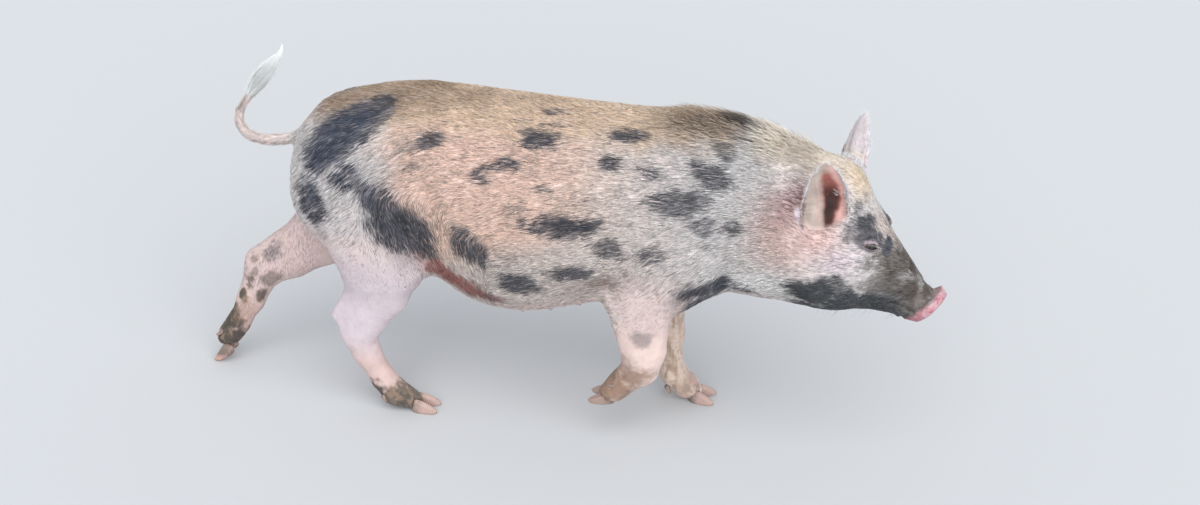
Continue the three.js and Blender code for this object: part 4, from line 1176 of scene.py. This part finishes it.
# the coat
def strandMesh(name, middles, sides, ups, widths, tints, spots):
    # Many thin strands in one closed mesh each: rings of three corners along the middles, and a point at the
    # tip. Each strand is a small patch of the map at its root's place.
    count, steps = middles.shape[0], middles.shape[1] - 1
    rings = middles[:, :-1, None] + (
        sides[:, :, None] * (widths[:, :, None] * np.array([-0.5, 0.5, 0]))[..., None]
        + ups[:, :, None] * (widths[:, :, None] * np.array([0, 0, 0.45]))[..., None]
    )
    verts = np.concatenate([rings.reshape(count, -1, 3), middles[:, -1:]], axis=1)
    per = steps * 3 + 1
    quads = [[3 * k + i, 3 * k + (i + 1) % 3, 3 * k + 3 + (i + 1) % 3, 3 * k + 3 + i]
             for k in range(steps - 1) for i in range(3)]
    points = [[per - 4 + i, per - 4 + (i + 1) % 3, per - 1] for i in range(3)] + [[0, 2, 1]]
    base = (np.arange(count) * per)[:, None, None]
    quadFaces = (base + np.array(quads)[None]).reshape(-1, 4)
    pointFaces = (base + np.array(points)[None]).reshape(-1, 3)
    corners = np.concatenate([quadFaces.ravel(), pointFaces.ravel()])
    quadCorners = 4 * len(quadFaces)
    starts = np.concatenate([np.arange(0, quadCorners, 4), quadCorners + np.arange(len(pointFaces)) * 3])
    mesh = bpy.data.meshes.new(name)
    mesh.vertices.add(count * per)
    mesh.vertices.foreach_set("co", verts.astype(np.float32).ravel())
    mesh.loops.add(len(corners))
    mesh.loops.foreach_set("vertex_index", corners.astype(np.int32))
    mesh.polygons.add(len(starts))
    mesh.polygons.foreach_set("loop_start", starts.astype(np.int32))
    mesh.polygons.foreach_set("use_smooth", np.ones(len(starts), bool))
    mesh.update(calc_edges=True)
    tint = np.concatenate([np.repeat(tints[:, :-1], 3, axis=1), tints[:, -1:]], axis=1)
    setColour(mesh, np.clip(tint, 0, 1).reshape(-1, 3))
    across = np.array([-1, 1, 0] * steps + [0]) * 0.0015
    along = np.append(np.repeat(np.linspace(-1, 0.7, steps), 3), 1) * 0.0015
    place = spots[:, None] * 0.99 + 0.005 + np.stack([across, along], axis=1)[None]
    layer = mesh.uv_layers.new(name="OFBake")
    layer.data.foreach_set("uv", place.reshape(-1, 2)[corners].astype(np.float32).ravel())
    return addObject(name, mesh, silk if name == "tail_hair" else bristle)


tail = {
    "path": [(-357, 0, 366.2), (-373, -0.5, 362.3), (-395, -2, 361), (-416, -2, 366), (-425.5, -2, 380),
             (-425, -2, 396), (-416, -2, 413), (-404, -2, 431), (-390, -2, 451), (-374, -2, 471),
             (-361, -2, 487), (-358, -2, 502)],
    "brushFrom": 0.56,
    "seed": 7,
    "strands": 1500,
    "steps": 6,
    "starts": (-0.1, 0.24),  # as shares of the path's length, from where the brush begins
    "runs": (0.16, 0.36),
    "width": 0.8,
    "bulge": 13.0,
    "colour": (0.95, 0.98, 0.97),
}


def alongPath(path, share):
    # places and directions at shares of a path's length
    lengths = np.linalg.norm(path[1:] - path[:-1], axis=1)
    reach = np.concatenate([[0], np.cumsum(lengths)]) / lengths.sum()
    at = [np.stack([np.interp(np.clip(share + step, 0, 1), reach, path[:, i]) for i in range(3)], axis=-1)
          for step in (0, 0.02, -0.02)]
    return at[0], unit(at[1] - at[2])


def hairFlow(places, normals, shares):
    # the way the hair lies at each place, along the skin
    x, y, z = (places / mm).T
    head = toHead(places)
    outwards = np.sign(y)
    flow = np.tile(np.array([-1.0, 0, -0.16]), (len(places), 1))
    flow = mixed(flow, np.array([-0.75, 0, -0.66]), ramp(x, -120, -220))
    thigh = ramp(x, -250, -225) * ramp(x, -90, -150) * ramp(z, 375, 330)
    flow = mixed(flow, np.array([0.3, 0, -0.95]), thigh)
    flank = ramp(x, -150, -118) * ramp(x, -50, -84) * ramp(z, 330, 290)
    flow = mixed(flow, np.array([0.55, 0, -0.8]), 0.8 * flank)
    flow = mixed(flow, np.array([-0.05, 0, -1.0]), share(shares, "thigh", "forearm", "cannon", "foot"))
    shoulder = ramp(x, 90, 120) * ramp(x, 240, 200) * ramp(z, 330, 260) * share(shares, "trunk")
    flow = mixed(flow, np.array([-0.7, 0, -0.7]), shoulder)
    inHead = np.clip(share(shares, "head", "snout") * 1.4, 0, 1)
    flow = mixed(flow, np.array([-0.85, 0, 0.32]), inHead * ramp(z, 270, 330))
    flow = mixed(flow, np.array([-0.95, 0, -0.1]), inHead * ramp(z, 330, 270))
    flow[:, 1] += 0.25 * outwards * inHead * ramp(head[:, 0], 440, 380)
    for side in (-1, 1):
        # hair parts round the eye
        away = places - np.array(eyeFrame(side).translation)
        near = np.exp(-((np.linalg.norm(away, axis=1) / mm / 17) ** 2))
        flow = mixed(flow, unit(away), 0.8 * near)
    for name in ("left", "right"):
        tipwards = np.array(earFrame(name).to_3x3().col[2])
        mine = share(shares, "ear") * (outwards == ear[name]["side"])
        flow = mixed(flow, tipwards, mine)
    onTail = share(shares, "tail") > 0.3
    path = np.array(tail["path"]) * mm
    middles = (path[1:] + path[:-1]) / 2
    nearest = np.argmin(np.linalg.norm(places[onTail, None] - middles[None], axis=2), axis=1)
    flow[onTail] = unit((path[1:] - path[:-1])[nearest])
    swirl = 0.16 * softNoise(places, 30 * mm, 31) + 0.1 * softNoise(places, 9 * mm, 32)
    flow = flow + np.cross(normals, flow) * swirl[:, None]
    flow -= normals * np.sum(flow * normals, axis=1)[:, None]
    return unit(flow)


def crestOf(places, normals):
    # the longer bristles that stand along the nape and withers
    x, _, z = (places / mm).T
    return ramp(x, 120, 190) * ramp(x, 342, 318) * ramp(normals[:, 2], 0.72, 0.95) * ramp(z, 380, 400)


def hairless(places, normals):
    # 1 where no tuft grows: in the eye's opening, inside the ears, and on the snout's disc
    bald = np.zeros(len(places))
    for side in (-1, 1):
        local = inFrame(eyeFrame(side), places)
        near = np.linalg.norm(local, axis=1) < 16
        bald = np.maximum(bald, near * ramp(inSlit(local[:, 0], local[:, 1]), -2.4, -1.6))
    for name in ("left", "right"):
        local, facing = inFrame(earFrame(name), places, normals)
        inner, rim, _ = earInside(name, local, facing)
        bald = np.maximum(bald, 0.985 * ramp(inner, 0.2, 0.5) * (1 - 0.5 * rim))
    out, _, _ = toSnout(places)
    return np.maximum(bald, ramp(out, -8, -5) * (toHead(places)[:, 0] > 440))


coatParts = {
    "trunk": ("trunk",),
    "neck": ("neck",),
    "head": ("head", "snout", "ear"),
    "limbs": ("thigh", "forearm", "cannon", "foot", "tail"),
}
# Each piece of coat: what it covers, where along the pig it runs (mm), and how many tufts it has.
coatPieces = [
    {"name": "coat_rump", "on": "trunk", "from": -420, "to": -185, "tufts": 18000},
    {"name": "coat_loin", "on": "trunk", "from": -185, "to": -75, "tufts": 19000},
    {"name": "coat_ribs", "on": "trunk", "from": -75, "to": 30, "tufts": 19000},
    {"name": "coat_chest", "on": "trunk", "from": 30, "to": 130, "tufts": 18000},
    {"name": "coat_shoulder", "on": "trunk", "from": 130, "to": 300, "tufts": 17000},
    {"name": "coat_neck", "on": "neck", "from": 150, "to": 400, "tufts": 15000},
    {"name": "coat_head", "on": "head", "from": 200, "to": 520, "tufts": 19500},
    {"name": "coat_hind_legs", "on": "limbs", "from": -520, "to": -60, "tufts": 13000},
    {"name": "coat_fore_legs", "on": "limbs", "from": -60, "to": 260, "tufts": 8000},
]


def unwrapped(places, piece):
    # the skin unrolled: along the part and round it, from 0 to 1
    x, y, z = (places / mm).T
    if piece["name"] == "coat_head":
        head = toHead(places)
        along = (head[:, 0] - 300) * 0.75 - (head[:, 2] - 330) * 0.66
        up = (head[:, 0] - 300) * 0.66 + (head[:, 2] - 330) * 0.75 - 25
        around = np.arctan2(head[:, 1], up) / (2 * math.pi) + 0.5
        return np.stack([np.clip((along + 60) / 300, 0, 1), around], axis=1)
    if "legs" in piece["name"]:
        # half of the map for each leg: its height, and the angle round its own middle
        left = (y > 0).astype(int)
        slab = np.clip(z / 14, 0, 40).astype(int) + 50 * left
        total = np.maximum(np.bincount(slab, minlength=100), 1)
        middle = [np.bincount(slab, v, 100)[slab] / total[slab] for v in (x, y)]
        angle = np.arctan2(y - middle[1], x - middle[0])
        return np.stack([(angle / (2 * math.pi) + 0.5 + left) / 2, np.clip(z / 420, 0, 1)], axis=1)
    around = np.arctan2(y, z - 310) / (2 * math.pi) + 0.5
    long = piece["to"] - piece["from"]
    return np.stack([np.clip((x - piece["from"]) / long, 0, 1), around], axis=1)


growth = {
    "seed": 100,
    "sway": 0.13,  # how much the tufts' directions differ
    "length": (0.65, 1.25),
    "width": (0.7, 1.3),
    "lift": (0.25, 1.05),
    "crest": (1, 12),  # how much more the bristles of the nape rise, mm
    "shade": 0.085,
    "crestShade": 0.1,
    "greyChance": 0.07,
    "rootDepth": 0.6,  # how far inside the skin a tuft starts, mm
    "taper": (1.0, 0.85),
    "tones": (0.93, 1.0, 1.06),  # from the root to the tip; the darker root is painted shade among the tufts
}


def growTufts(name, roots, normals, flow, length, width, lift, colour, spots):
    # thin tufts bent over the skin, each from just inside the skin to its lifted tip
    middles, ups = [], []
    for step, rise in ((0.0, 0.0), (0.5, 0.75), (1.0, 1.0)):
        at, up = roots + flow * (length * step)[:, None], normals
        if step:
            found = [skinTree.find_nearest(Vector(p)) for p in at]
            up = unit(np.array([f[1] for f in found]) + normals * 0.5)
            at = np.array([f[0] for f in found])
        middles.append(at + up * (lift * rise - growth["rootDepth"] * mm * (step == 0))[:, None])
        ups.append(up)
    middles, ups = np.stack(middles, axis=1), np.stack(ups[:2], axis=1)
    sides = np.repeat(unit(np.cross(normals, flow))[:, None], 2, axis=1)
    widths = width[:, None] * np.array(growth["taper"])
    # painted shade: each tuft darker at its root
    tints = colour[:, None] * np.array(growth["tones"])[None, :, None]
    return strandMesh(name, middles, sides, ups, widths, tints, spots)


def sampleSkin(weights, count, random):
    # random places on the skin's triangles, as triangle numbers and corner weights
    chance = np.cumsum(weights)
    picks = np.searchsorted(chance, random.random(count) * chance[-1])
    a = np.sqrt(random.random(count))
    b = random.random(count)
    return np.minimum(picks, len(weights) - 1), np.stack([1 - a, a * (1 - b), a * b], axis=1)


def makeCoat():
    mesh = skin.data
    mesh.calc_loop_triangles()
    corners = np.empty(len(mesh.loop_triangles) * 3, np.int32)
    mesh.loop_triangles.foreach_get("vertices", corners)
    corners = corners.reshape(-1, 3)
    places = placesOf(mesh)
    normals = normalsOf(mesh)
    a, b, c = (places[corners[:, i]] for i in range(3))
    areas = np.linalg.norm(np.cross(b - a, c - a), axis=1) / 2
    middles = (a + b + c)[:, 0] / 3 / mm
    dense = fieldOf(skinShares, "dense") * (1 - hairless(places, normals)) * (1 - 0.5 * fineHair(places))
    dense = dense[corners].mean(axis=1)
    made = []
    owners = np.stack([share(skinShares, *names)[corners].mean(axis=1) for names in coatParts.values()])
    owners = np.argmax(owners, axis=0)
    for number, piece in enumerate(coatPieces):
        random = np.random.default_rng(growth["seed"] + number)
        covered = owners == list(coatParts).index(piece["on"])
        covered &= (middles >= piece["from"]) & (middles < piece["to"])
        picks, weights = sampleSkin(areas * dense * covered, piece["tufts"], random)
        at = corners[picks]
        roots = np.einsum("ij,ijk->ik", weights, places[at])
        outs = unit(np.einsum("ij,ijk->ik", weights, normals[at]))
        shares = np.einsum("ij,ijk->ik", weights, skinShares[at])
        count = len(roots)
        crest = crestOf(roots, outs)
        flow = hairFlow(roots, outs, shares)
        flow = unit(flow + np.cross(outs, flow) * random.normal(0, growth["sway"], count)[:, None])
        fine = fineHair(roots)
        length = fieldOf(shares, "hair") * mm * random.uniform(*growth["length"], count)
        length *= (1 + 0.5 * crest) * (1 - 0.5 * fine)
        width = fieldOf(shares, "width") * mm * random.uniform(*growth["width"], count) * (1 - 0.5 * fine)
        lift = fieldOf(shares, "coat") * fieldOf(shares, "lift") * random.uniform(*growth["lift"], count)
        lift *= 1 - 0.65 * fine
        lift = (lift + crest * random.uniform(*growth["crest"], count)) * mm
        coat, _ = coatColours(roots + flow * (length * 0.3)[:, None], outs, shares, random.random(count))
        smooth = np.clip(fine + share(shares, "thigh", "forearm", "cannon", "foot"), 0, 1)
        colour = coat * (1 + random.normal(0, growth["shade"], count) * (1 - 0.7 * smooth))[:, None]
        grey = (random.random(count) < growth["greyChance"]) * share(shares, "trunk", "neck")
        colour = laid(colour, "grey", 0.6 * grey * (1 - fine))
        # painted shade: the tufts of the fine hair made darker too
        colour = mixed(colour, colour * 0.9, fine)
        colour *= (1 + random.normal(0, growth["crestShade"], count) * crest)[:, None]
        spots = unwrapped(roots, piece)
        made.append(growTufts(piece["name"], roots, outs, flow, length, width, lift, colour, spots))
        print(piece["name"], count)
    return made


coat = makeCoat()


# the brush of long hair on the tail
def makeBrush():
    random = np.random.default_rng(tail["seed"])
    path = np.array(tail["path"]) * mm
    count, steps = tail["strands"], tail["steps"]
    start = tail["brushFrom"] + random.uniform(*tail["starts"], count)
    end = np.minimum(start + random.uniform(*tail["runs"], count), 1.0)
    angle = random.uniform(0, 2 * math.pi, count)
    spread = np.sqrt(random.uniform(0.02, 1, count))
    side = np.tile(np.array([0.0, 1.0, 0.0]), (count, 1))
    middles, sides, ups = [], [], []
    for step in range(steps + 1):
        part = step / steps
        at = start + (end - start) * part
        place, ahead = alongPath(path, at)
        up = unit(np.cross(ahead, side))
        far = np.clip((at - tail["brushFrom"] + 0.08) / (1.08 - tail["brushFrom"]), 0, 1)
        bulge = (4.0 + tail["bulge"] * np.sin(math.pi * far**0.85)) * (1 - 0.3 * far) * (1 - far**6)
        off = bulge * mm * spread * (0.35 + 0.65 * part)
        wave = angle + 0.4 * part
        sideways = (off * np.cos(wave) * 0.7)[:, None]
        upwards = (off * np.sin(wave))[:, None]
        middles.append(place + side * sideways + up * upwards)
        sides.append(side)
        ups.append(up)
    middles, sides, ups = (np.stack(v, axis=1) for v in (middles, sides[:-1], ups[:-1]))
    widths = tail["width"] * mm * np.linspace(1, 0.5, steps)[None] * random.uniform(0.7, 1.3, count)[:, None]
    colour = np.array(tail["colour"]) * random.normal(1, 0.04, count)[:, None]
    colour = laid(colour, "mud", 0.5 * (random.random(count) < 0.3) * (start < 0.6))
    tints = np.repeat(colour[:, None], steps + 1, axis=1)
    spots = np.stack([start, angle / (2 * math.pi)], axis=1)
    return strandMesh("tail_hair", middles, sides, ups, widths, tints, spots)


tailHair = makeBrush()
print("tail brush made")


# long single hairs: lashes, brow, whiskers and the fringe of each ear; lengths and widths in mm
lashes = {"seed": 8, "count": 54, "reach": 8.6, "stray": 0.25, "length": (5.5, 10), "width": 0.26}
fringe = {"seed": 9, "rim": 1100, "within": 24, "length": (3, 6.5), "width": 0.42, "tint": (0.86, 0.86, 0.88)}
whiskers = {"seed": 10, "chin": 90, "lips": 60, "brow": 40, "length": (6, 14), "width": 0.22}


def straightHairs(name, roots, aims, sags, length, width, colour, random):
    # hairs that leave the skin along their aim and bend towards their sag
    count = len(roots)
    steps = 4
    parts = np.linspace(0, 1, steps + 1)
    middles = np.stack([roots + (aims * p + sags * p * p) * length[:, None] for p in parts], axis=1)
    ahead = unit(middles[:, 1:] - middles[:, :-1])
    ups = unit(np.cross(ahead, np.array([0.21, 0.35, 0.91])))
    sides = np.cross(ups, ahead)
    widths = width * mm * np.linspace(1, 0.4, steps)[None] * np.ones((count, 1))
    tints = np.repeat((colour * random.normal(1, 0.07, count)[:, None])[:, None], steps + 1, axis=1)
    spots = np.stack([np.clip(toHead(roots)[:, 0] / 520, 0, 1), np.clip(roots[:, 2] / 0.5, 0, 1)], axis=1)
    return strandMesh(name, middles, sides, ups, widths, tints, spots)


def makeLashes():
    random = np.random.default_rng(lashes["seed"])
    roots, aims, sags = [], [], []
    for side in (-1, 1):
        matrix = eyeFrame(side)
        radius = eye["radius"] + eye["lidGap"] + eye["lid"]
        reach = lashes["reach"]
        for lash in range(lashes["count"]):
            x = -reach + 2 * reach * lash / (lashes["count"] - 1) + random.normal(0, lashes["stray"])
            top = lash % 4 != 3
            margin = eye["slitHeight"] * (1 - (x / eye["halfSlit"]) ** 2) + 0.4
            y = (margin if top else -margin) - eye["slitDown"]
            z = math.sqrt(max(radius**2 - x * x - y * y, 1)) - 0.8
            out = Vector((0.05 * x, 0.25 if top else -0.5, 1.0)).normalized()
            sag = Vector((0.03 * x, -0.5 if top else 0.1, -0.1))
            turn = matrix.to_3x3()
            roots.append(matrix @ (Vector((x, y, z)) * mm))
            aims.append(turn @ out)
            sags.append(turn @ sag)
    length = random.uniform(*lashes["length"], len(roots)) * mm
    roots, aims, sags = (np.array([v[:] for v in values]) for values in (roots, aims, sags))
    return straightHairs("lashes", roots, aims, sags, length, lashes["width"], colours["cream"], random)


def makeFringe():
    # hairs along the rim of each ear, and a few long ones from inside it
    random = np.random.default_rng(fringe["seed"])
    mesh = skin.data
    places, normals = placesOf(mesh), normalsOf(mesh)
    roots, aims, sags = [], [], []
    for name in ("left", "right"):
        matrix = earFrame(name)
        turn = np.array(matrix.to_3x3())
        local, facing = inFrame(matrix, places, normals)
        inner, _, _ = earInside(name, local, facing)
        x, y, z = local[:, 0], np.abs(local[:, 1]), local[:, 2]
        rim = (share(skinShares, "ear", "head") > 0.7) & (np.abs(facing[:, 0]) < 0.6)
        rim &= (z > 34) & (z < 126) & (y < 34) & (x > -32) & (x < 10) & (y > 9 - 0.1 * z)
        picks = random.choice(np.nonzero(rim)[0], fringe["rim"])
        within = random.choice(np.nonzero((inner > 0.8) & (z > 40) & (z < 92))[0], fringe["within"])
        for chosen, rise, out in ((picks, 0.75, 0.55), (within, 0.5, 0.7)):
            stray = random.normal(0, 0.15, (len(chosen), 3))
            aim = unit(facing[chosen] * out + np.array([0.12, 0, rise]) + stray)
            roots.append(places[chosen] - normals[chosen] * 0.4 * mm)
            aims.append(aim @ turn.T)
            sags.append(np.tile(np.array([0.1, 0, 0.35]) @ turn.T, (len(chosen), 1)))
    roots, aims, sags = (np.concatenate(v) for v in (roots, aims, sags))
    length = random.uniform(*fringe["length"], len(roots)) * mm
    colour = np.array(fringe["tint"])
    return straightHairs("ear_fringe", roots, aims, sags, length, fringe["width"], colour, random)


def makeWhiskers():
    # single stiff hairs on the chin, lips and brow
    random = np.random.default_rng(whiskers["seed"])
    mesh = skin.data
    places, normals = placesOf(mesh), normalsOf(mesh)
    head = toHead(places)
    out, _, _ = toSnout(places)
    x, y, z = head.T
    areas = {
        "chin": (x > 352) & (z < 262) & (out < -12),
        "lips": (x > 430) & (z < 290) & (out < -12),
        "brow": (np.abs(x - 402) < 14) & (np.abs(z - 343) < 6) & (np.abs(y) > 24),
    }
    picks = [random.choice(np.nonzero(area)[0], whiskers[name]) for name, area in areas.items()]
    picks = np.concatenate(picks)
    outs = normals[picks]
    aims = unit(outs * 0.8 + np.array([-0.5, 0, -0.1]) + random.normal(0, 0.12, outs.shape))
    sags = np.tile(np.array([-0.3, 0, -0.25]), (len(picks), 1))
    length = random.uniform(*whiskers["length"], len(picks)) * mm
    roots = places[picks] - outs * 0.4 * mm
    return straightHairs("whiskers", roots, aims, sags, length, whiskers["width"], colours["grey"], random)


singleHairs = [makeLashes(), makeFringe(), makeWhiskers()]
print("lashes, fringe and whiskers made")


# eyeballs
def makeEyes():
    material = newMaterial("wetEye")  # a moist cornea over a dark brown iris
    colour = addNode(material, "ShaderNodeAttribute", {"attribute_name": "coatColour"})
    settings = {"Roughness": 0.1, "IOR": 1.38, "Coat Weight": 0.7, "Coat Roughness": 0.03}
    shader = addNode(material, "ShaderNodeBsdfPrincipled", settings, {"Base Color": (colour, "Color")})
    addNode(material, "ShaderNodeOutputMaterial", None, {"Surface": (shader, "BSDF")})
    made = []
    for name, side in (("left", 1), ("right", -1)):
        shape = bmesh.new()
        bmesh.ops.create_icosphere(shape, subdivisions=5, radius=eye["radius"] * mm)
        local = np.array([v.co.normalized()[:] for v in shape.verts])
        for vert, spot in zip(shape.verts, local):
            vert.co *= 1 + 0.06 * max(0, spot[2] - 0.75) / 0.25  # the cornea bulges
        bmesh.ops.transform(shape, matrix=eyeFrame(side), verts=shape.verts[:])
        ball = addObject("eyeball_" + name, meshOf("eyeball_" + name, shape), material)
        for face in ball.data.polygons:
            face.use_smooth = True
        off = np.degrees(np.arccos(np.clip(local[:, 2], -1, 1)))
        streak = 0.5 + 0.5 * np.sin(np.arctan2(local[:, 1], local[:, 0]) * 41 + 3 * np.sin(off))
        tint = plain("eyeWhite", len(local))
        tint = laid(tint, "irisRim", ramp(off, 56, 50))
        tint = laid(tint, "iris", 0.6 * ramp(off, 50, 44) * ramp(off, 20, 26) * streak)
        tint = laid(tint, "pupil", ramp(off, 24, 20))
        setColour(ball.data, tint)
        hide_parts("eye_" + name)
        made.append(ball)
    return made


eyeballs = makeEyes()


# claws
def hornMaterial():
    # horn: fibrous and matt, dulled by dried mud
    material = newMaterial("clawHorn")
    toned, grain, _ = tonedColour(material, 420.0, 4.0, 0.82, 1.14)  # fibres and dirt 2.4 mm across
    depth = {"Strength": 0.4, "Distance": 0.0005}
    bump = addNode(material, "ShaderNodeBump", depth, {"Height": (grain, "Fac")})
    links = {"Base Color": (toned, "Vector"), "Normal": (bump, "Normal")}
    shader = addNode(material, "ShaderNodeBsdfPrincipled", {"Roughness": 0.5, "IOR": 1.5}, links)
    addNode(material, "ShaderNodeOutputMaterial", None, {"Surface": (shader, "BSDF")})
    return material


claw = {
    "voxel": 0.7,
    "rounds": 9,
    "rings": 2.6,
    "ringDepth": 0.14,
    "roughness": 0.12,
    "inset": 0.2,
    "along": {  # the way the claws of each foot point
        "hind_right": (1, 0, -0.2), "hind_left": (-0.5, 0, -0.85),
        "fore_right": (-0.9, 0, -0.4), "fore_left": (1, 0, -0.2),
    },
    "colour": {"fore_right": "muddyHorn", "hind_left": "farHorn"},
}


def makeClaws():
    horn = hornMaterial()
    made = []
    for name in sorted(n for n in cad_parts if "claw" in n):
        shape = bmesh.new()
        shape.from_mesh(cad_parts[name].data)
        bmesh.ops.remove_doubles(shape, verts=shape.verts[:], dist=1e-5)
        piece = addObject("horn_" + name, meshOf("horn_" + name, shape), horn)
        remesh = piece.modifiers.new("remesh", "REMESH")
        remesh.mode = "VOXEL"
        remesh.voxel_size = claw["voxel"] * mm
        mesh = finished(piece)
        places = placesOf(mesh)
        edges = edgesOf(mesh)
        sole = places[:, 2].min()
        for _ in range(claw["rounds"]):
            places += 0.5 * (neighbourMean(places, edges, len(places)) - places)
        places[:, 2] = np.maximum(places[:, 2], sole)
        setPlaces(mesh, places)
        normals = normalsOf(mesh)
        leg = next(leg for leg in claw["along"] if leg in name)
        ahead = places @ unit(np.array(claw["along"][leg])) / mm
        ring = np.sin(ahead * 2 * math.pi / claw["rings"] + softNoise(places, 8 * mm, 44))
        rough = softNoise(places, 3 * mm, 45)
        sides = ramp(np.abs(normals[:, 2]), 1.0, 0.9) if leg != "hind_left" else np.ones(len(places))
        rise = claw["ringDepth"] * ring + claw["roughness"] * rough - claw["inset"]
        places += normals * (rise * sides * mm)[:, None]
        places[:, 2] = np.maximum(places[:, 2], sole)
        setPlaces(mesh, places)
        for face in mesh.polygons:
            face.use_smooth = True
        near = (ahead - ahead.min()) / (ahead.max() - ahead.min())  # 0 at the hair line, 1 at the tip
        dirt = 0.5 + 0.7 * softNoise(places, 7 * mm, 41) + 0.4 * softNoise(places, 2.5 * mm, 42)
        dirt = np.clip(dirt, 0, 1)
        tint = plain(claw["colour"].get(leg, "horn"), len(places))
        tint = laid(tint, "cream", 0.25 * (0.5 + 0.5 * ring))
        reach = 0.85 if leg == "hind_left" and "dew" not in name else 0.5
        muddy = ramp(near, reach, reach - 0.45) + 0.35 * ramp(sole / mm + 5 - places[:, 2] / mm, 0, 5)
        muddy += 0.5 if "dew" in name else 0
        tint = laid(tint, "mud", np.clip(muddy * (0.4 + 0.8 * dirt), 0, 0.9))
        setColour(mesh, tint)
        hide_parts(name)
        made.append(piece)
    return made


claws = makeClaws()
print("claws made")


# floor, light and world
studio = {
    "floor": (0.54, 0.55, 0.56, 1),
    "sky": (0.9, 0.94, 1.0, 1),
    "skyStrength": 0.84,
    "lampFrom": (0.4, -1.0, 1.0),
    "lampStrength": 2.7,
    "lampAngle": 75,
}


def makeStage():
    shape = bmesh.new()
    bmesh.ops.create_grid(shape, x_segments=1, y_segments=1, size=30)
    material = newMaterial("paleFloor")  # matt painted board
    shader = addNode(material, "ShaderNodeBsdfPrincipled", {"Base Color": studio["floor"], "Roughness": 0.9})
    addNode(material, "ShaderNodeOutputMaterial", None, {"Surface": (shader, "BSDF")})
    floor = addObject("floor", meshOf("floor", shape), material)
    world = bpy.data.worlds.new("studio")
    world.use_nodes = True
    world.node_tree.nodes["Background"].inputs["Color"].default_value = studio["sky"]
    world.node_tree.nodes["Background"].inputs["Strength"].default_value = studio["skyStrength"]
    bpy.context.scene.world = world
    data = bpy.data.lights.new("softLamp", "SUN")
    data.energy = studio["lampStrength"]
    data.angle = math.radians(studio["lampAngle"])
    lamp = bpy.data.objects.new("softLamp", data)
    lamp.rotation_euler = (-Vector(studio["lampFrom"])).to_track_quat("-Z", "Y").to_euler()
    bpy.context.scene.collection.objects.link(lamp)
    bpy.context.scene.view_settings.view_transform = "Standard"


makeStage()
print("stage set")

for face in skin.data.polygons:
    face.use_smooth = True
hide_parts(*fleshNodes)
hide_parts("tail_brush")
hairs = [*coat, tailHair, *singleHairs]
for piece in [skin, *hairs, *eyeballs, *claws]:
    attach(piece, rootBody)
